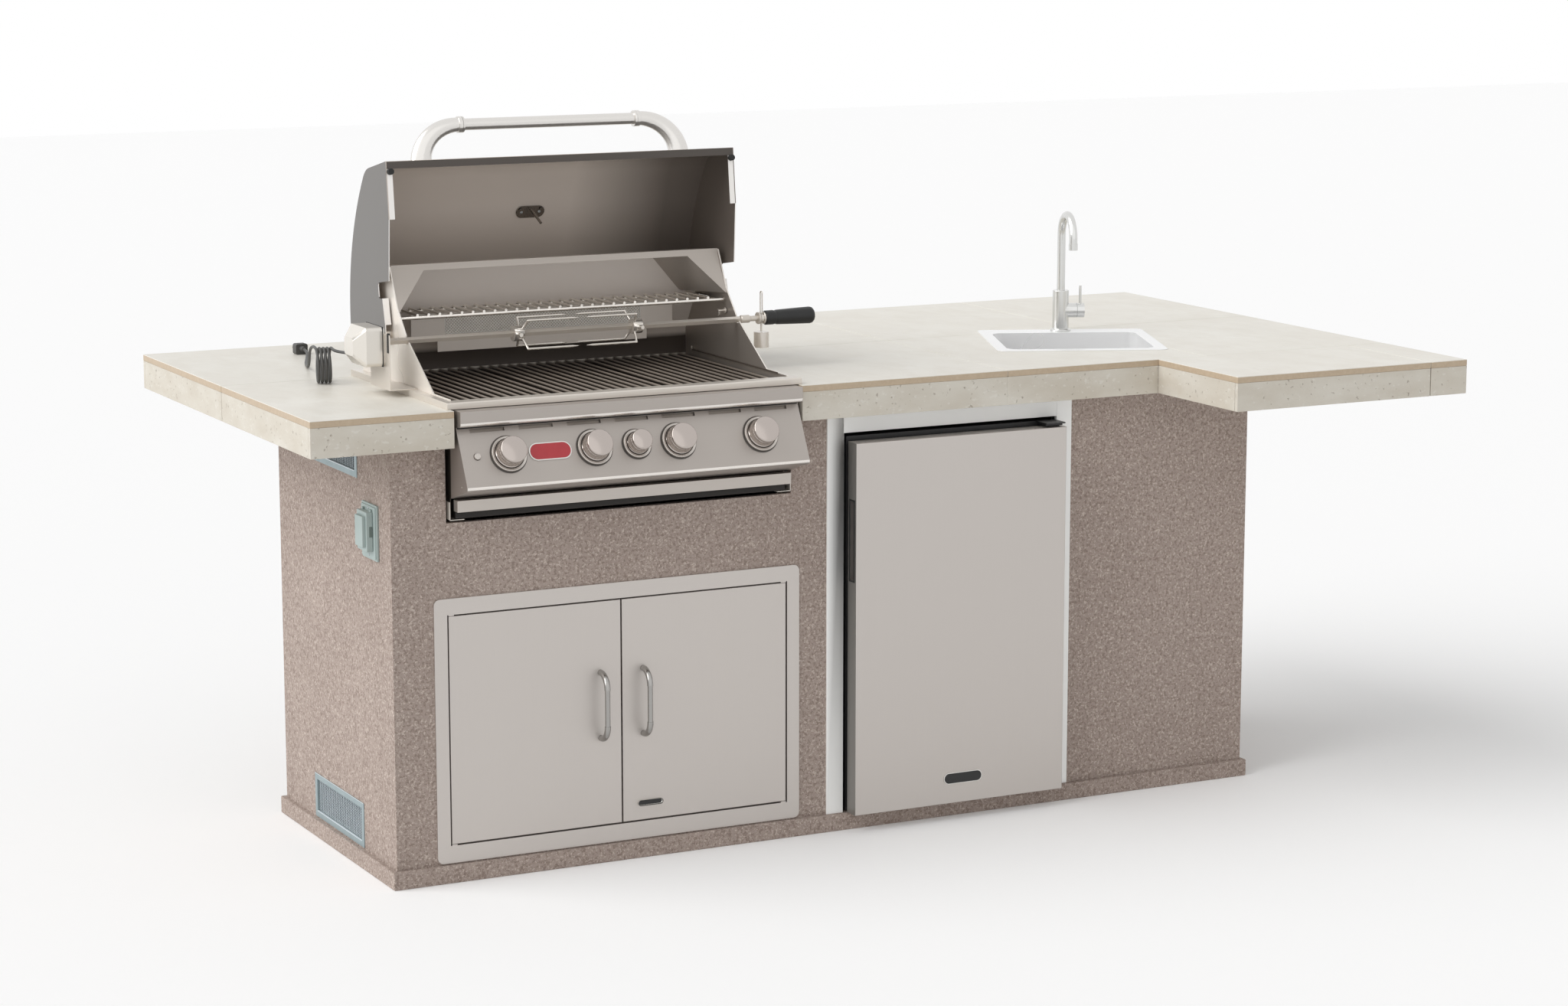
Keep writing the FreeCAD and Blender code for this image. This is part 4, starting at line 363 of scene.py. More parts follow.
# A strain relief is moulded on the cord in the same dark plastic. It sits in the motor's gland
# and tapers in five rings over the first stretch of the flex.
def lathed(name, steps, base, axis, finish, body, replaces=(), sides=56, shape=None):
    """Round piece drawn out ring by ring from (radius, height) steps in millimetres."""
    radius, height = steps[0]
    bpy.ops.mesh.primitive_circle_add(vertices=sides, radius=radius / 1000, fill_type="NGON",
                                      location=(0, 0, height / 1000))
    item = bpy.context.object
    bpy.ops.object.transform_apply(location=True)

    def draw_out():
        r, h = radius, height
        for next_r, next_h in steps[1:]:
            bpy.ops.mesh.extrude_region_move(TRANSFORM_OT_translate={"value": (0, 0, (next_h - h) / 1000)})
            bpy.ops.transform.resize(value=(next_r / r, next_r / r, 1), center_override=(0, 0, next_h / 1000))
            r, h = next_r, next_h
        bpy.ops.mesh.select_all(action="SELECT")
        bpy.ops.mesh.normals_make_consistent(inside=False)

    edit(item, draw_out)
    if shape:
        shape(item)
    item.rotation_mode = "QUATERNION"
    item.rotation_quaternion = Vector(axis).to_track_quat("Z", "Y")
    item.location = base
    return settle(item, name, finish, body, replaces)


relief_steps = [(5.2, 0), (5.6, 1), (5.6, 4)]
for ring in range(5):
    top = 5.3 - ring * 0.33
    start = 5 + 4 * ring
    relief_steps += [(top, start), (top - 0.7, start + 1), (top - 0.7, start + 2), (top - 0.2, start + 3)]
relief_steps.append((3.5, 26))
lathed("strain_relief", relief_steps, at(46, 300, 1070), (-0.04, 1, -0.06), cord_jacket,
       "island", sides=24)


# The base is cement board on a welded frame, coated all over in a sand-finish stucco whose
# grains are darker and lighter than the ground, with a low plinth in the same coat.
def coated(node, finish):
    """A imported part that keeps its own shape, in its finish."""
    part = frame["nodes"][node]
    part.data.materials.clear()
    part.data.materials.append(finish.material)
    return part


stucco = Finish("sand_stucco", paint(170, 151, 141), 0.9)
grain_large = stucco.noise(150, 3, rough=0.72)
grain_small = stucco.noise(205, 3, rough=0.7)
stucco_dark = stucco.spread(grain_large, 0.50, 0.58)
stucco_light = stucco.spread(grain_small, 0.55, 0.63)
stucco_cloud = stucco.spread(stucco.noise(3.0, 2), 0.3, 0.7)
stucco_ground = stucco.mix(stucco_cloud, paint(168, 153, 144), paint(160, 145, 136))
stucco_grains = stucco.mix(stucco_dark * 0.65, stucco_ground, paint(122, 105, 96))
stucco.colour(stucco.mix(stucco_light * 0.65, stucco_grains, paint(212, 198, 188)))
stucco.bump(grain_large + grain_small * 0.5, 0.0016)
for wall in ("front_wall", "left_wall", "right_wall", "back_wall"):
    coated(wall, stucco)
eased("plinth", stucco, 2.5, steps=3)

# Inside stands the frame of square steel tube, hot-dip galvanised and dull, welded at its joints.
# It carries the walls, the counter and the board between the grill bay and the fridge bay.
zinc = Finish("dull_zinc", paint(150, 158, 164), 0.5, 0.8)
zinc_spangle = zinc.cells(90)
zinc.colour(zinc.mix(zinc_spangle * 1.6, paint(138, 148, 156), paint(178, 186, 190)))
zinc.rough(zinc.spread(zinc.noise(60), 0.3, 0.7, 0.38, 0.58))
coated("stud_frame", zinc)

# The counter's core is raw cement board screwed on the frame. It is seen only from below, where
# the counter stands out over the walls.
cement = mottled("raw_cement_board", paint(168, 162, 152), paint(206, 200, 190), 0.92, 14, 6,
                 grain=(240, 4, 0.0008))
coated("counter_core", cement)

# Large porcelain tiles lie on the core: a pale cloudy face, slightly worn at the arris, over a
# tan body that shows along every cut edge.
tile = Finish("porcelain_tile", paint(228, 224, 215), 0.42)
tile_arris = (counter_top - 1.2) / 1000
tile_cloud = tile.spread(tile.noise(5.5, 6, rough=0.62), 0.32, 0.68)
tile_vein = tile.spread(tile.noise(16, 8, (1, 0.5, 1), 0.7), 0.45, 0.62)
tile_face = tile.mix(tile_cloud, paint(221, 216, 205), paint(232, 229, 221))
tile_face = tile.mix(tile_vein * 0.28, tile_face, paint(212, 205, 192))
tile_body = tile.mix(tile.noise(120, 3), paint(176, 156, 132), paint(196, 178, 153))
tile.colour(tile.mix(tile.along("Z") > tile_arris, tile_body, tile_face))
tile.rough(tile.spread(tile_cloud, 0, 1, 0.34, 0.50))
tile.bump(tile.noise(90, 4), 0.00025)
eased("counter_tiles", tile, 1.2)

# The apron tiles are cut from the same range with a pitted, travertine-like face: small brown
# voids and chalky flecks in soft bands.
apron = Finish("pitted_edge_tile", paint(222, 214, 200), 0.6)
apron_band = apron.spread(apron.noise(7, 5, (1, 1, 2.2)), 0.3, 0.7)
apron_pits = apron.spread(apron.noise(120, 3, rough=0.6), 0.665, 0.72)
apron_flecks = apron.spread(apron.noise(75, 2, (1, 1, 1.4)), 0.63, 0.68)
apron_ground = apron.mix(apron_band, paint(196, 188, 174), paint(211, 206, 195))
apron_flecked = apron.mix(apron_flecks * 0.4, apron_ground, paint(222, 219, 211))
apron.colour(apron.mix(apron_pits * 0.4, apron_flecked, paint(140, 120, 96)))
apron.bump(apron_pits * -1.0 + apron.noise(60, 4) * 0.15, 0.0012)
eased("apron_tiles", apron, 1.0)


def slab(name, low, high, soften, finish, body, replaces=()):
    """Block between two corners with eased edges."""
    low, high = at(*low), at(*high)
    bpy.ops.mesh.primitive_cube_add(size=1, location=(low + high) / 2, scale=high - low)
    item = bpy.context.object
    bpy.ops.object.transform_apply(location=True, rotation=True, scale=True)
    modify(item, "BEVEL", width=soften / 1000, segments=3)
    return settle(item, name, finish, body, replaces)


# A cut strip of the same tile closes the apron's front joint.
slab("apron_filler", (1408.6, -54.7, 918.3), (1411.4, -46, 979.7), 0.2, apron, "island")

# Sanded grout, close to the tiles in colour, fills the joints a little below their faces and
# stops at the sink's cut-out.
grout = mottled("sanded_grout", paint(176, 168, 154), paint(196, 189, 176), 0.95, 900, 2,
                grain=(900, 2, 0.0004))
grout_foot, grout_face = 981, counter_top - 0.9
grout_lines = [((1408.8, -54), (1411.2, 1045)), ((1919.8, -54), (1922.2, 150)),
               ((1919.8, 415), (1922.2, 1045)), ((386.8, 511), (389.2, 1045)),
               ((897.8, 511), (900.2, 1045)), ((-185, 494.8), (119, 497.2)), ((909, 494.8), (2404, 497.2)),
               ((1797, -56.2), (2404, -53.8)), ((2305.8, -366), (2308.2, -57))]
for number, (start, end) in enumerate(grout_lines):
    slab("grout_line_%d" % number, (*start, grout_foot), (*end, grout_face), 0.3, grout, "island")


# Two louvre vents are screwed over openings in the left wall: a folded galvanised frame with
# woven wire cloth behind it, and a dark sheet behind that, painted as the shade inside the base.
def ring_frame(name, low, high, width, soften, finish, body, replaces=()):
    """Flat frame round an opening: a face drawn in, its middle taken out, the rest thickened."""
    low, high = at(*low), at(*high)
    size = high - low
    thin = min(range(3), key=lambda i: size[i])
    bpy.ops.mesh.primitive_plane_add(size=1, location=(0, 0, 0))
    item = bpy.context.object
    item.rotation_euler = [(0, math.pi / 2, 0), (-math.pi / 2, 0, 0), (0, 0, 0)][thin]
    bpy.ops.object.transform_apply(rotation=True)
    item.scale = [1 if i == thin else size[i] for i in range(3)]
    item.location = (low + high) / 2
    bpy.ops.object.transform_apply(location=True, scale=True)

    def take_out():
        bpy.ops.mesh.inset(thickness=width / 1000)
        bpy.ops.mesh.delete(type="FACE")

    edit(item, take_out)
    modify(item, "SOLIDIFY", thickness=size[thin], offset=0)
    modify(item, "BEVEL", width=soften / 1000, segments=2, limit_method="ANGLE")
    return settle(item, name, finish, body, replaces)


def wire_cloth(name, low, high, pitch, wire, finish, body, diamonds=False, replaces=(), rise=None):
    """Woven or expanded wire in a window: a grid whose edges become wires, rise apart in height."""
    low, high = at(*low), at(*high)
    size = high - low
    thin = min(range(3), key=lambda i: size[i])
    wide, tall = [size[i] for i in range(3) if i != thin]
    bpy.ops.mesh.primitive_grid_add(x_subdivisions=round(wide / pitch * 1000), location=(0, 0, 0),
                                    y_subdivisions=round(tall / (rise or pitch) * 1000), size=1)
    item = bpy.context.object
    item.scale = (wide, tall, 1)
    bpy.ops.object.transform_apply(scale=True)
    item.rotation_euler = (math.pi / 2, 0, math.pi / 2 if thin == 0 else 0)
    item.location = (low + high) / 2
    bpy.ops.object.transform_apply(location=True, rotation=True)
    if diamonds:
        edit(item, bpy.ops.mesh.poke)
        edit(item, lambda: bpy.ops.mesh.tris_convert_to_quads(face_threshold=0.2, shape_threshold=3.14))
    modify(item, "WIREFRAME", thickness=wire / 1000, use_even_offset=False, use_boundary=True)
    return settle(item, name, finish, body, replaces, smooth=0)


vent_sheet = mottled("galvanised_sheet", paint(140, 156, 160), paint(160, 175, 178), 0.36, 40, 4, 0.5)
vent_sheet.rough(vent_sheet.spread(vent_sheet.noise(25), 0.3, 0.7, 0.34, 0.5))
cloth_wire = mottled("zinc_wire", paint(190, 201, 206), paint(214, 222, 226), 0.35, 60, metal=0.3)
vent_painted_shade = mottled("painted_shade_inside_base", paint(36, 44, 50), paint(54, 62, 68), 0.9, 30)
near, far = 187, 486
for label, low, high in (("low", 41, 138), ("high", 830, 914)):
    ring_frame("vent_flange_" + label, (-2, near, low), (0, far, high), 13, 1.0, vent_sheet,
               "island", ("side_vents",))
    ring_frame("vent_throat_" + label, (0, near + 12.5, low + 12.5), (15, far - 12.5, high - 12.5), 2, 0.3,
               vent_sheet, "island", ("side_vents",))
    wire_cloth("vent_cloth_" + label, (1.5, near + 14, low + 14), (2.5, far - 14, high - 14), 8.4, 1.2,
               cloth_wire, "island", replaces=("side_vents",), rise=3.7)
    slab("vent_edge_" + label, (-2.6, near, high - 1.3), (-1.2, far, high), 0.4, cloth_wire,
         "island")
    slab("vent_lip_" + label, (-2.4, near + 13, low + 12.4), (2, far - 13, low + 14.6), 0.6, cloth_wire,
         "island")
    # The dark sheet behind the cloth is painted shade for the inside of the base.
    slab("vent_back_" + label, (12, near + 14, low + 14), (14, far - 14, high - 14), 0.2, vent_painted_shade,
         "island", ("side_vents",))

# A weatherproof outlet sits beside them in grey moulded plastic: a stepped plate held by two
# screws, and a flip cover on two knuckles with a notch at the edge where a finger lifts it, painted darker as
# its shade.
grey_plastic = mottled("weathered_grey_plastic", paint(152, 167, 164), paint(170, 182, 179), 0.48, 24, 5,
                       grain=(400, 2, 0.0001))
notch_painted_shade = mottled("shaded_grey_plastic", paint(98, 110, 105), paint(110, 122, 117), 0.6, 24, 5)
for name, low, high, soften, body, node in (
        ("plate_flange", (-5, 67, 674), (0, 152, 790), 1.0, "island", "outlet_plate"),
        ("plate_field", (-8, 71, 678), (-4, 148, 786), 1.6, "island", "outlet_plate"),
        ("cover_shell", (-22, 81, 694), (-8.4, 136, 776), 1.4, "cover", "outlet_cover"),
        ("cover_panel", (-29, 87, 703), (-21.5, 130, 767), 1.2, "cover", "outlet_cover")):
    slab(name, low, high, soften, grey_plastic, body, (node,))
# The notch is a darker strip of plastic painted as the shade of the recess.
slab("cover_notch", (-16, 80.6, 724), (-9, 82.4, 746), 0.6, notch_painted_shade, "cover")
for number, y in enumerate((84, 127)):
    slab("cover_knuckle_%d" % number, (-13, y, 774), (-8.2, y + 6, 781), 1.2, grey_plastic,
         "cover")
screw_zinc = Finish("zinc_screw", paint(176, 182, 184), 0.35, 0.8)
screw_zinc.rough(screw_zinc.spread(screw_zinc.noise(300), 0.3, 0.7, 0.28, 0.46))


def cut_slot(item):
    """Screw slot pressed across the top face of a turned head."""
    half_width, depth = 0.0006, 0.0006
    top = max(v.co.z for v in item.data.vertices)
    for v in item.data.vertices:
        if v.co.z > top - 1e-6 and abs(v.co.y) < half_width:
            v.co.z -= depth


for number, z in enumerate((684.5, 781.5)):
    lathed("outlet_screw_%d" % number, [(3.2, -1), (3.2, 0.4), (2.6, 1.1), (0.6, 1.3)], at(-8, 106, z),
           (-1, 0, 0), screw_zinc, "island", sides=20, shape=cut_slot)


# The two access doors hang in a flat flanged frame. All are warm grey satin stainless sheet, with
# a fine upright grain on the doors and a level one on the frame.
def brushed(name, colour, rough=0.34, grain=(1, 80, 80), tone=0.03, metal=0.6, depth=0.0):
    """Steel with a directional grain: streaks in its tone and its gloss."""
    steel = Finish(name, colour, rough, metal)
    streak = steel.noise(9, 4, grain)
    smear = steel.noise(2.0, 3)
    light = tuple(min(1, c * (1 + tone)) for c in colour[:3]) + (1,)
    dark = tuple(c * (1 - tone) for c in colour[:3]) + (1,)
    steel.colour(steel.mix(streak * 0.6 + smear * 0.4, dark, light))
    steel.rough(steel.spread(smear, 0.3, 0.7, rough - 0.02, rough + 0.03))
    if depth:
        steel.bump(streak, depth)
    return steel


frame_steel = brushed("satin_frame", paint(197, 191, 186), 0.42, metal=0.8, depth=0.000006)
door_steel = brushed("satin_door", paint(197, 191, 186), 0.45, (80, 80, 1), 0.02, 0.8, 0.000006)
pull_steel = brushed("polished_pull", paint(164, 162, 159), 0.2, (40, 40, 2), 0.06, 1.0)
eased("access_frame", frame_steel, 0.6)
eased("left_door", door_steel, 0.7)
eased("right_door", door_steel, 0.7)


# Each pull is a slim tube between two cast bends that curve back to the door, screwed on from
# inside, with a fine joint at the tube's ends and at the foot.
def bent_pull(name, x, finish, body, replaces):
    bend, thick, thin, straight = 32.0, 6.5, 5.6, 77.0
    middle_height, foot_y, tube_y = 340, -2.5, -39
    flange, groove, neck = 2.6, 0.5, 0.9
    top = middle_height + straight / 2
    foot = [at(x, foot_y, top + bend)]
    bpy.ops.mesh.primitive_circle_add(vertices=28, radius=thick / 1000, fill_type="NGON",
                                      location=foot[0], rotation=(math.pi / 2, 0, 0))
    item = bpy.context.object
    bpy.ops.object.transform_apply(location=True, rotation=True)

    def onward(y, z, size=1.0):
        bpy.ops.mesh.extrude_region_move(TRANSFORM_OT_translate={"value": (0, y / 1000, z / 1000)})
        foot[0] = foot[0] + Vector((0, y / 1000, z / 1000))
        bpy.ops.transform.resize(value=(size, size, size), center_override=foot[0])

    def turn_down(middle, steps=9):
        turn = (Matrix.Translation(middle) @ Matrix.Rotation(math.radians(90 / steps), 4, "X")
                @ Matrix.Translation(-middle))
        for step in range(steps):
            bpy.ops.mesh.extrude_region_move(TRANSFORM_OT_translate={"value": (0, 0, 0)})
            shape = bmesh.from_edit_mesh(item.data)
            for v in shape.verts:
                if v.select:
                    v.co = turn @ v.co
            foot[0] = turn @ foot[0]

    def draw():
        stem = foot_y - tube_y - bend - flange - groove
        onward(-flange, 0)
        onward(0, 0, neck)
        onward(-groove, 0)
        onward(0, 0, 1 / neck)
        onward(-stem, 0)
        turn_down(at(x, tube_y + bend, top))
        onward(0, 0, thin / thick)
        onward(0, -straight)
        onward(0, 0, thick / thin)
        turn_down(at(x, tube_y + bend, top - straight))
        onward(stem, 0)
        onward(0, 0, neck)
        onward(groove, 0)
        onward(0, 0, 1 / neck)
        onward(flange, 0)
        bpy.ops.mesh.select_all(action="SELECT")
        bpy.ops.mesh.remove_doubles(threshold=0.000002)
        bpy.ops.mesh.normals_make_consistent(inside=False)

    edit(item, draw)
    return settle(item, name, finish, body, replaces)


for side, body, x in (("left", "door_left", 459), ("right", "door_right", 557)):
    bent_pull(side + "_pull", x, pull_steel, body, (side + "_door_handle",))


# A bare badge plate is riveted low on the right door: a dark enamelled pill in a bright rim,
# stamped from thin sheet.
def pill(name, middle, facing, long, tall, thick, finish, body):
    """Flat plate with half-round ends, long along X, standing off a face."""
    bpy.ops.mesh.primitive_cube_add(size=1, scale=(long / 1000, tall / 1000, thick / 1000))
    item = bpy.context.object
    bpy.ops.object.transform_apply(scale=True)

    def corner_edges():
        bpy.ops.mesh.select_all(action="DESELECT")
        bpy.ops.object.mode_set(mode="OBJECT")
        for e in item.data.edges:
            a, b = (item.data.vertices[i].co for i in e.vertices)
            e.select = abs(a.x - b.x) < 1e-6 and abs(a.y - b.y) < 1e-6
        bpy.ops.object.mode_set(mode="EDIT")
        bpy.ops.mesh.select_mode(type="EDGE")
        half_round = tall / 2000 * 0.985
        bpy.ops.mesh.bevel(offset=half_round, segments=10)

    edit(item, corner_edges)
    modify(item, "BEVEL", width=min(0.4, thick / 4) / 1000, segments=2, limit_method="ANGLE",
           angle_limit=math.radians(60))
    facing = Vector(facing).normalized()
    across = Vector((1, 0, 0))
    stand(item, middle, across, facing.cross(across), facing)
    return settle(item, name, finish, body)


rim_steel = brushed("badge_rim", paint(214, 212, 208), 0.2, metal=0.9)
dark_enamel = mottled("dark_enamel", paint(17, 17, 17), paint(28, 28, 28), 0.36, 60, coat=0.1)
forwards = (0, -1, 0)
pill("door_badge_rim", at(571, -3.6, 118.5), forwards, 58, 13, 1.6, rim_steel, "door_right")
pill("door_badge", at(571, -4.2, 118.5), forwards, 55.5, 10.5, 1.4, dark_enamel,
     "door_right")

# The fridge stands between two white posts under a white header, a bent steel surround that is
# powder coated and screwed to the bay.
white_coat = mottled("white_powder_coat", paint(244, 244, 242), paint(249, 249, 247), 0.5, 7, 3,
                     grain=(700, 2, 0.00006))
eased("fridge_surround", white_coat, 0.8)


# The fridge has a black enamelled cabinet with moulded shelves, and a satin steel door with a
# rubber seal, hung at the right on a hinge plate. The door is pulled by a dark finger pocket in
# its left edge, and carries a bare badge plate.
def part_off(item, belongs):
    """Take the faces that answer the test off a piece as a piece of their own."""
    def pick():
        bpy.ops.mesh.select_all(action="DESELECT")
        bpy.ops.object.mode_set(mode="OBJECT")
        for face in item.data.polygons:
            face.select = belongs(face)
        bpy.ops.object.mode_set(mode="EDIT")
        bpy.ops.mesh.separate(type="SELECTED")

    edit(item, pick)
    return [o for o in bpy.context.selected_objects if o is not item][0]


def split(item, belongs, name, finish, body, node, smooth=35):
    """Part off the faces that are finished in another way."""
    return settle(part_off(item, belongs), name, finish, body, (node,), smooth)


black_coat = mottled("black_enamel", paint(28, 28, 29), paint(44, 44, 45), 0.42, 35, 4,
                     grain=(500, 2, 0.0001))
fridge_steel = brushed("satin_fridge_door", paint(195, 189, 184), 0.42, (80, 80, 1), 0.02, 0.8, 0.000006)
door_edge_painted_shade = brushed("door_edge_painted_shade_steel", paint(150, 147, 143), 0.42, (80, 80, 1), 0.02, 0.8)
rubber = mottled("black_rubber", paint(24, 24, 24), paint(40, 40, 39), 0.75, 80)
shelf_plastic = Finish("shelf_plastic", paint(200, 206, 210), 0.25)
shelf_plastic.rough(shelf_plastic.spread(shelf_plastic.noise(30), 0.3, 0.7, 0.2, 0.34))
eased("fridge_cabinet", black_coat, 1.0)
fridge_front = eased("fridge_door", fridge_steel, 0.8)
# The door's left edge face is split off in a darker copy of its steel, as painted shade.
split(fridge_front, lambda f: f.normal.x < -0.7, "fridge_door_edge", door_edge_painted_shade, "door_fridge",
      "fridge_door")
eased("fridge_gasket", rubber, 1.2)
eased("fridge_shelves", shelf_plastic, 0.8)
ring_frame("pocket_trim", (1039.2, -44, 555), (1040.4, -18, 735), 4, 0.3, rubber,
           "door_fridge")
slab("pocket_floor", (1064.5, -42, 557.5), (1065.8, -20.2, 732.5), 0.3, rubber, "door_fridge")
slab("hinge_plate", (1514, -48, 866), (1562, -2, 869), 1.0, black_coat, "island")
pill("fridge_badge_rim", at(1308, -50.4, 96.5), forwards, 97, 26, 2.4, rim_steel,
     "door_fridge")
pill("fridge_badge", at(1308, -51.4, 96.5), forwards, 92, 22, 2.0, dark_enamel,
     "door_fridge")

# Grill body: bright trim on the counter, the firebox stained by heat, side plates polished
# outside and dull inside, and a folded hood with a sooted foot, all in stainless sheet.
grill_x = 514
trim_steel = brushed("bright_trim", paint(220, 213, 204), 0.3, metal=0.5)
fired_steel = brushed("fired_steel", paint(104, 95, 87), 0.5, (1, 20, 20), 0.15, 0.6)
plate_steel = brushed("side_plate_steel", paint(240, 234, 226), 0.26, (80, 1, 80), metal=0.3)
hood_steel = brushed("hood_steel", paint(184, 176, 168), 0.36, metal=0.35)
eased("grill_trim", trim_steel, 0.8)
eased("firebox", fired_steel, 0.3)
dull_steel = brushed("side_plate_inside", paint(172, 164, 156), 0.34, (80, 1, 80), metal=0.6)
back_steel = brushed("hood_back", paint(226, 217, 209), 0.4, metal=0.1)
soot_from, soot_to = 1.040, 1.052
back_soot = back_steel.spread(back_steel.along("Z") + back_steel.noise(12) * 0.006, soot_from, soot_to)
back_steel.colour(back_steel.mix(back_soot, paint(74, 66, 60), paint(224, 215, 207)))
grill_middle = at(grill_x, 240, 1100)


def faces_inwards(face):
    inwards = grill_middle.x - face.center.x
    return inwards * face.normal.x > 0.5 * abs(inwards)


split(eased("side_plates", plate_steel, 0.3), faces_inwards, "side_plates_inside",
      dull_steel, "island", "side_plates")
hood_behind = at(0, 430, 0).y
split(eased("rear_hood", hood_steel, 0.4),
      lambda f: f.normal.y < -0.7 and f.center.y > hood_behind, "rear_hood_back",
      back_steel, "island", "rear_hood")

# A turned pin with its washer holds the warming rack on the right inner side, and the folded
# upper edge of the grate ledge shows there, with a small hook at its end.
lathed("rack_pin", [(2.4, -2), (2.4, 15), (1.6, 16.2), (0.4, 16.4)], at(892, 283, 1117), (-1, 0, 0),
       trim_steel, "island", sides=20)
lathed("rack_pin_washer", [(2.4, 0), (6.2, 0), (6.4, 0.6), (6.0, 1.4), (2.4, 1.6)], at(892, 283, 1117),
       (-1, 0, 0), trim_steel, "island", sides=24)
slab("ledge_edge", (889.5, 27, 1010), (891.5, 452, 1013), 0.5, fired_steel, "island")
slab("ledge_hook", (889.5, 449, 1009), (891.8, 453, 1019), 0.7, trim_steel, "island")

# Rear burner: a folded steel box screwed to the hood, whose window is closed with expanded mesh
# over a tile of pierced ceramic.
burner_steel = brushed("rear_burner_steel", paint(206, 198, 190), 0.38, metal=0.2)
ceramic = Finish("burner_ceramic", paint(176, 170, 163), 0.8)
ceramic.colour(ceramic.mix(ceramic.cells(260) * 3.0, paint(190, 184, 177), paint(228, 223, 216)))
ceramic.bump(ceramic.cells(260), 0.0004)
mesh_steel = brushed("mesh_steel", paint(254, 252, 248), 0.3, metal=0.05)
eased("rear_burner", burner_steel, 0.3)
slab("burner_tile", (286, 405.2, 1087.5), (742, 405.9, 1126.5), 0.1, ceramic, "island")
wire_cloth("burner_mesh", (285, 402.6, 1087.2), (743, 403.6, 1126.8), 6.8, 1.9, mesh_steel, "island",
           diamonds=True)

# Cooking parts: a bright warming rack, grates of rod painted pale on top as a highlight and dark below as
# shade, and under them ridged baffles, tube burners and the zinc-plated gas pipe with its valves.
rack_steel = brushed("bright_rod", paint(228, 223, 216), 0.2, (30, 30, 30), metal=0.95)
grate_steel = brushed("rod_painted_highlight_and_shade", paint(200, 190, 180), 0.3, (2, 2, 2), 0.12, 0.8)
# The rods are painted dark low down as shade and pale along their tops as a highlight.
rod_painted_shade_below, rod_painted_highlight_above = 0.9972, 0.9997
grate_painted_light = grate_steel.spread(grate_steel.along("Z") + grate_steel.noise(5) * 0.0008,
                                rod_painted_shade_below, rod_painted_highlight_above)
grate_steel.colour(grate_steel.mix(grate_painted_light, paint(78, 70, 63), paint(214, 204, 193)))
eased("warming_rack", rack_steel, 0, smooth=50)
eased("cooking_grates", grate_steel, 0, smooth=50)
for node in ("heat_baffles", "main_burners"):
    eased(node, fired_steel, 0.3)
eased("gas_manifold", zinc, 0.3)

# Control panel: one folded sheet, a rounded nose over a slanted face with a rounded foot, both
# bends painted pale as a highlight, closed at the ends and screwed to the firebox.
panel_steel = brushed("panel_steel", paint(174, 167, 161), 0.4, metal=0.8, depth=0.000006)
roll_painted_highlight = brushed("bend_painted_highlight", paint(230, 225, 219), 0.24, tone=0.01, metal=0.9)
panel = eased("control_panel", panel_steel, 0.9, steps=3)
nose_low, nose_high, foot_low, foot_high, sliver = 960, 968.9, 834, 846, 0.00005


def on_roll(face):
    """Faces of the two bends that face forward and take the painted highlight, apart from slivers and the
    panel's ends.
    """
    high = face.center.z * 1000
    nose = nose_low < high < nose_high and face.normal.y < -0.6
    foot = foot_low < high < foot_high and face.normal.y < -0.88 and face.normal.z < 0.43
    return (nose or foot) and abs(face.normal.x) < 0.1 and face.area > sliver


# The forward faces of both bends are split off in a near-white steel as a painted highlight.
split(panel, on_roll, "panel_rolls", roll_painted_highlight, "island", "control_panel", 0)
lathed("panel_end_screw", [(2.2, -0.4), (2.2, 0.5), (1.5, 1.0), (0.3, 1.1)], at(127.2, -72, 840),
       (-1, 0, 0), dull_steel, "island", sides=18)
lean_out, lean_up = 0.892869, 0.450317
outward = Vector((0, -lean_out, lean_up))


def on_panel(offset, lift, down=0.0):
    """Point over the slanted face at the knob row, moved down the slope."""
    slope = Vector((0, -lean_up, -lean_out))
    return at(grill_x + offset, -73, 900.5) + (outward * lift + slope * down) / 1000


def bar(size, soften, steps=2):
    """Small straight bar with eased edges, sizes in metres."""
    bpy.ops.mesh.primitive_cube_add(size=1, scale=size)
    item = bpy.context.object
    bpy.ops.object.transform_apply(scale=True)
    modify(item, "BEVEL", width=soften, segments=steps)
    return item


# A dark strip in the corner under the nose is painted shadow. A strip of the panel's own sheet
# stands a little behind the air slots and keeps them from reading black.
for name, size, soften, lift, down, finish, slot in (
        ("nose_painted_shadow", (0.770, 0.0036, 0.0014), 0.0005, 0.2, -62.6, rubber, "black_rubber"),
        ("slot_strip", (0.756, 0.018, 0.0012), 0.0003, -5.5, -54, dull_steel, "stainless")):
    strip = bar(size, soften)
    along_panel = Vector((1, 0, 0))
    stand(strip, on_panel(0, lift, down), along_panel, outward.cross(along_panel), outward)
    settle(strip, name, finish, "island")

# A blank enamelled badge plate sits between the first two knobs, red in a bright rim, pressed
# from sheet and glued on.
red_enamel = mottled("red_enamel", paint(168, 24, 36), paint(186, 36, 48), 0.28, 50, coat=0.5)
pill("panel_badge_rim", on_panel(-193.5, 1.2, 0), outward, 94, 38, 2.4, rim_steel, "island")
pill("panel_badge", on_panel(-193.5, 2.2, 0), outward, 89, 33, 2.0, red_enamel, "island")

# Each knob is turned from solid and pushed on its valve's stem: a dished bezel on a dark foot that is painted
# shadow, a knurled grip and a domed cap, all bright but the foot. The middle one is smaller.
knob_steel = brushed("bright_knob", paint(184, 175, 169), 0.16, (30, 30, 30), 0.02, 0.95)
bezel_steel = brushed("satin_bezel", paint(196, 190, 184), 0.26, (30, 30, 30), 0.02, 0.9)


def knurl(item):
    """Fine upright ridges round the grip band."""
    band_foot, band_top, ridges, rise = 0.0115, 0.0245, 72, 0.018
    for v in item.data.vertices:
        if band_foot < v.co.z < band_top:
            turn = math.atan2(v.co.y, v.co.x) / (2 * math.pi)
            v.co.xy *= 1 + rise * (round(turn * 2 * ridges) % 2)
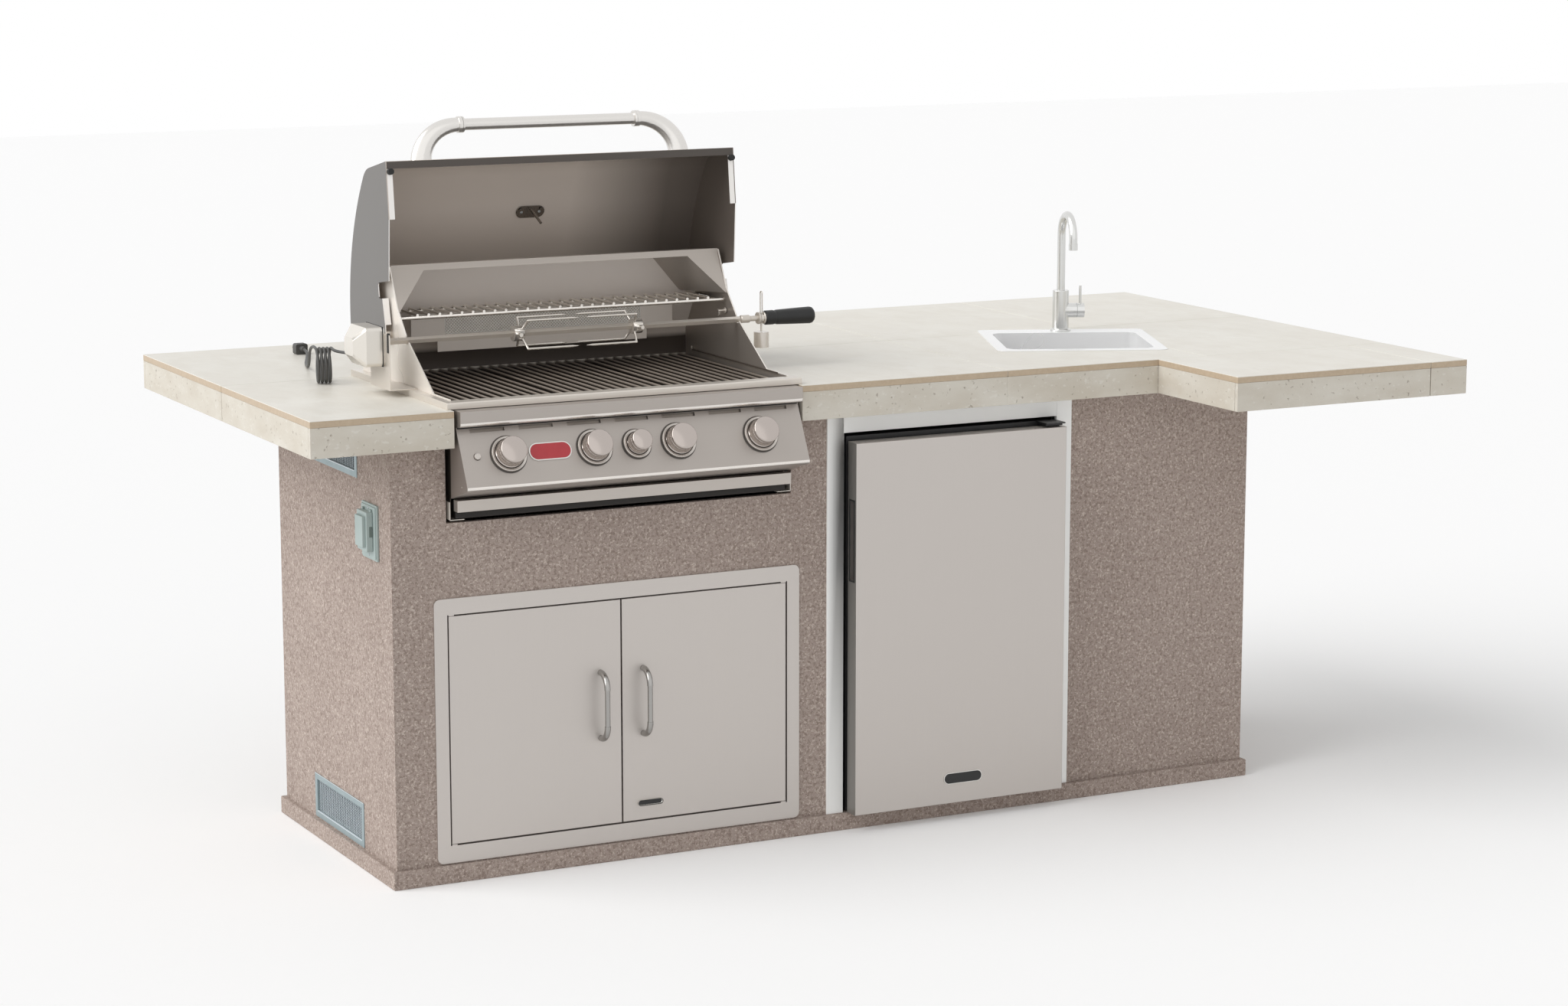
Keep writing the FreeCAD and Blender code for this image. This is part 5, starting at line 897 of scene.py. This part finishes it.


# The dark foot under each bezel is painted as the shadow gap round it.
bezel_shade = mottled("bezel_shade", paint(76, 71, 67), paint(96, 91, 86), 0.5, 120, metal=0.4)
for number, offset in enumerate((-285, -95, 0, 95, 285), start=1):
    small = number == 3
    r, b = (22.5, 31.0) if small else (28.5, 38.0)  # radius of the knob's cap and of the bezel
    place = on_panel(offset, 0)
    foot_steps = [(b - 3, 0.2), (b + 2.4, 0.2), (b + 2.4, 0.8), (b + 0.3, 1.1), (b + 0.3, 4.4), (b - 3, 4.6)]
    bezel_steps = [(7, 0.4), (b - 1, 0.4), (b, 4.0), (b, 6.0), (b - 0.6, 7.2), (b - 1.8, 7.8),
                   (b - 5.2, 7.2), (b - 6.0, 6.2), (b - 6.2, 3.0), (7, 2.8)]
    knob_steps = [(4, -30), (4, 3.6), (b - 8.4, 3.6), (b - 7.4, 4.4), (b - 7.4, 8.6), (b - 8.2, 9.6),
                  (r + 0.4, 11), (r + 0.2, 12), (r - 0.9, 24), (r - 1.2, 25), (r - 2.2, 25.6),
                  (r - 2.2, 26.6), (r - 0.7, 27.2), (r - 0.1, 28.2), (r, 30), (r, 33.4), (r - 0.5, 35.0),
                  (r - 1.6, 36.2), (r * 0.8, 37.4), (r * 0.5, 38.5), (r * 0.25, 39.0), (0.4, 39.2)]
    lathed("bezel_foot_%d" % number, foot_steps, place, outward, bezel_shade, "island", sides=72)
    lathed("bezel_%d" % number, bezel_steps, place, outward, bezel_steel, "island",
           ("knob_bezels",), sides=72)
    lathed("knob_%d_skin" % number, knob_steps, place, outward, knob_steel, "dial_%d" % number,
           ("knob_%d" % number,), sides=240 if small else 288, shape=knurl)

# Igniter: a small bright push button with a hollowed top near the panel's left end. It clips in
# from behind, and its plunger works the sparker.
lathed("igniter_cap", [(7.2, -4), (7.2, 3.2), (6.6, 4.2), (5.2, 4.5), (4.8, 3.9), (0.4, 3.9)],
       on_panel(-353, 0), outward, bezel_steel, "igniter", ("igniter_button",), sides=40)

# Drip tray: a pan painted near-black as shade behind a bright folded front. It slides on two light
# angle rails that are welded under the firebox.
tray_steel = brushed("tray_steel", paint(190, 183, 176), 0.36, metal=0.7)
# The pan is painted near-black, as the shade under the firebox.
pan_painted_shade = brushed("pan_painted_near_black", paint(40, 36, 33), 0.6, tone=0.08, metal=0.3)
rail_foot, rail_start, rail_end = 761.6, -9, 190
behind_front = at(0, rail_start, 0).y
split(eased("drip_tray", tray_steel, 0.9, steps=3), lambda f: f.center.y > behind_front,
      "drip_tray_pan", pan_painted_shade, "tray", "drip_tray")
for side, foot_x, wall_x in (("left", 124.6, 124.6), ("right", 871, 901.8)):
    slab("tray_rail_floor_" + side, (foot_x, rail_start, rail_foot),
         (foot_x + 32.4, rail_end, rail_foot + 1.6), 0.4, trim_steel, "island")
    slab("tray_rail_side_" + side, (wall_x, rail_start, rail_foot), (wall_x + 1.6, rail_end, 800),
         0.4, trim_steel, "island")

# Lid: a bent shell with closed ends, smooth outside and painted dark grey there as a painted reflection. Its
# inside is the same sheet, painted darker towards the right end as shade, with pale flanges at the front of
# the ends and a dark lip along the top.
# Outside, the lid's steel is painted dark grey, a painted reflection.
lid_painted_reflection = brushed("lid_painted_reflection", paint(119, 116, 113), 0.3)
liner_steel = brushed("lid_liner", paint(200, 190, 181), 0.45, tone=0.01, metal=0.25)
# The liner darkens towards the lid's right end: painted shade.
liner_shade_from, liner_shade_to = at(640, 0, 0).x, at(860, 0, 0).x
liner_painted_shade = liner_steel.spread(liner_steel.along("X") + liner_steel.noise(3) * 0.06, liner_shade_from, liner_shade_to)
liner_steel.colour(liner_steel.mix(liner_painted_shade * 0.85, paint(202, 192, 183), paint(96, 87, 80)))
flange_steel = brushed("lid_flange", paint(252, 249, 245), 0.3, tone=0.01, metal=0.1)
lip_steel = brushed("lid_lip", paint(84, 79, 75), 0.35, metal=0.8)
lid_middle = at(grill_x, 230, 1290)
lid_low, lid_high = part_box("lid_shell")
lid_skin = eased("lid_shell", lid_painted_reflection, 0)
flange_width, lip_height, sheet = 0.016, 1.4547, 0.0015


def from_end(face):
    """How far a face of the lid is from the nearer of the lid's two ends."""
    return min(face.center.x - lid_low.x, lid_high.x - face.center.x)


def on_flange(face):
    return from_end(face) < flange_width and abs(face.normal.x) < 0.3 and face.normal.y < -0.8


def on_lip(face):
    return face.center.z > lip_height and face.normal.y < -0.9


def on_liner(face):
    return from_end(face) > sheet and (lid_middle - face.center).normalized().dot(face.normal) > 0.02


for belongs, name, finish in ((on_flange, "lid_flanges", flange_steel), (on_lip, "lid_lip", lip_steel),
                              (on_liner, "lid_liner", liner_steel)):
    split(lid_skin, belongs, name, finish, "lid", "lid_shell", 40)
settle(lid_skin, "lid_shell_skin", lid_painted_reflection, "lid", ("lid_shell",), 40)

# The lid's handle: polished cast bends bolted through the shell, dark joint rings and a brushed
# tube between them. Rubber bumpers soften the lid's landing on the trim.
tube_steel = brushed("handle_steel", paint(222, 219, 215), 0.22, tone=0.02, metal=0.95)
eased("lid_handle", tube_steel, 0.4)
ring_steps = [(12.2, -5), (16.8, -5), (17.4, -4), (17.4, -0.6), (16.1, -0.3), (16.1, 0.3), (17.4, 0.6),
              (17.4, 4), (16.8, 5), (12.2, 5)]
for side, x in (("left", 312), ("right", 716)):
    lathed("handle_ring_" + side, ring_steps, at(x, 364.45, 1535.0), (1, 0, 0), tube_steel,
           "lid", sides=48)
eased("lid_bumpers", rubber, 0.5)

# Thermometer: a dial with a bright rim outside the lid, its probe through the sheet, and a small
# backing plate inside that is held by two screws.
dial_face = mottled("dial_face", paint(228, 227, 222), paint(238, 237, 233), 0.5, 40)
dial_way = Vector((0, 0.909035, 0.416719))
dial_at = at(grill_x, 473.03, 1340.84)
dial_across = Vector((1, 0, 0))
dial_up = dial_across.cross(dial_way)
gauge_steel = Finish("gauge_steel", paint(214, 212, 208), 0.22, 0.9)
gauge_depth = gauge_steel.along("Y") * dial_way.y + gauge_steel.along("Z") * dial_way.z
gauge_outside = gauge_depth > dial_at.dot(dial_way) + 0.0005
gauge_steel.colour(gauge_steel.mix(gauge_outside, paint(128, 121, 114), paint(214, 212, 208)))
gauge_steel.rough(gauge_steel.spread(gauge_steel.noise(200), 0.3, 0.7, 0.18, 0.3))
gauge = eased("lid_thermometer", gauge_steel, 0.5)
plain_back, plain_face = -0.0075, -0.0028
plain_plate = part_off(gauge, lambda f: plain_back < (f.center - dial_at).dot(dial_way) < plain_face)
bpy.data.objects.remove(plain_plate)
plate_at = dial_at - dial_way * 0.0044 - dial_up * 0.007
pill("gauge_plate", plate_at, -dial_way, 66, 29, 1.8, gauge_steel, "lid")
for side in (-21, 21):
    lathed("gauge_plate_screw_%d" % (side + 30), [(3.4, 0), (3.4, 0.8), (2.6, 1.6), (0.5, 1.9)],
           plate_at + dial_across * side / 1000 - dial_way * 0.0008, -dial_way, screw_zinc,
           "lid", sides=18)
lathed("dial_disc", [(29.8, 12.1), (29.8, 12.5), (29.2, 12.6), (0.4, 12.6)], dial_at, dial_way,
       dial_face, "lid", sides=64)


def dial_heading(angle):
    return (dial_across * math.sin(angle) + dial_up * math.cos(angle)).normalized()


# The dial is printed with 25 ticks over 260 degrees, every fourth one longer, and has a tapered
# red needle on a black hub.
ticks, sweep, tick_circle = 25, 260, 0.026
for tick in range(ticks):
    way = dial_heading(math.radians(-sweep / 2 + tick * sweep / (ticks - 1)))
    long = 0.006 if tick % 4 == 0 else 0.0034
    mark = bar((0.0008, long, 0.0003), 0.00008, 1)
    stand(mark, dial_at + dial_way * 0.0127 + way * (tick_circle - long / 2), dial_way.cross(way), way,
          dial_way)
    settle(mark, "dial_tick_%d" % tick, dark_enamel, "lid", smooth=0)
needle_red = mottled("needle_red", paint(176, 34, 30), paint(196, 48, 40), 0.4, 90)
needle_way = dial_heading(-2.1)
bpy.ops.mesh.primitive_cone_add(vertices=16, radius1=0.0016, radius2=0.0002, depth=0.024)
needle = bpy.context.object
needle.scale = (1, 0.3, 1)
bpy.ops.object.transform_apply(scale=True)
stand(needle, dial_at + dial_way * 0.0135 + needle_way * 0.009, dial_way.cross(needle_way), dial_way,
      needle_way)
settle(needle, "dial_needle", needle_red, "lid")
lathed("dial_hub", [(2.6, 12.6), (2.6, 14.4), (1.8, 15.0), (0.3, 15.0)], dial_at, dial_way,
       dark_enamel, "lid", sides=24)

# Rotisserie: a dull square spit that rests in the side plates' notches, forks with polished
# collars, a counterweight, and a black moulded grip pressed on the rod's end by a ferrule.
spit_steel = brushed("spit_steel", paint(206, 199, 190), 0.34, (2, 40, 40), 0.05, 0.6)
fork_steel = brushed("fork_steel", paint(212, 206, 198), 0.22, (20, 20, 20), 0.04, 0.7)
grip_plastic = mottled("black_moulded_plastic", paint(12, 12, 12), paint(21, 21, 21), 0.4, 60,
                       grain=(500, 2, 0.00012))
eased("spit_rod", spit_steel, 0.4)
eased("spit_forks", fork_steel, 0, smooth=50)
eased("counterweight", fork_steel, 0, smooth=50)
grip_start = at(959, 228, 1103)
grip_steps = [(4, 0.5), (13.4, 0.5), (15.0, 1.6), (15.6, 3), (15.9, 20), (14.9, 24), (14.9, 26), (16.1, 30),
              (17.4, 70), (18.2, 100), (18.5, 110), (17.4, 115), (14.6, 118), (8, 118.8), (0.5, 119)]
lathed("grip_skin", grip_steps, grip_start, (1, 0, 0), grip_plastic, "spit",
       ("spit_grip",), sides=56)
lathed("grip_ferrule", [(6.5, -3), (12.4, -3), (13.0, -2.2), (13.0, -0.4), (12.4, 0.4), (6.5, 0.4)],
       grip_start, (1, 0, 0), fork_steel, "spit", sides=48)

# Motor: pale polished case on an angle bracket, with a dark joint where the base meets the case
# and a black drive collar at the bracket's front edge.
case_steel = brushed("motor_case", paint(226, 221, 213), 0.2, (20, 20, 20), 0.015, 0.5)
eased("motor_bracket", trim_steel, 0.4)
eased("motor_housing", case_steel, 1.2, steps=3)
ring_frame("motor_joint", (64.6, 197.4, 1055.4), (66.8, 292.6, 1138.6), 6, 0.4, rubber,
           "island")
slab("drive_collar", (68, 176, 1086), (73.5, 182, 1127), 1.0, grip_plastic, "island")

# Bar sink: a pressed bowl and rim in pale satin steel, set in the counter, with a strainer cup
# and a white waste pipe.
sink_steel = brushed("sink_steel", paint(240, 240, 240), 0.28, (30, 30, 2), 0.01, 0.5)
white_pipe = mottled("white_waste_pipe", paint(218, 217, 210), paint(232, 231, 227), 0.35, 16)
eased("sink_bowl", sink_steel, 0.3, smooth=50)
eased("sink_drain", white_pipe, 0, smooth=50)
rim_steps = [(34.2, 1.5), (44.3, 1.5), (44.5, 2.0), (44.2, 3.0), (42.5, 3.6), (36, 3.3), (34.2, 2.2)]
lathed("strainer_rim", rim_steps, at(1785.5, 293.3, 844), (0, 0, 1), rim_steel,
       "island", sides=72)

# Faucet: brushed nickel body screwed down through the counter, a gooseneck spout that swivels
# on it and a side lever.
nickel = brushed("brushed_nickel", paint(214, 214, 212), 0.2, (30, 30, 4), 0.02, 0.95)
eased("faucet_body", nickel, 0.3, smooth=45)
eased("faucet_spout", nickel, 0, smooth=50)
eased("faucet_lever", nickel, 0.3, smooth=45)
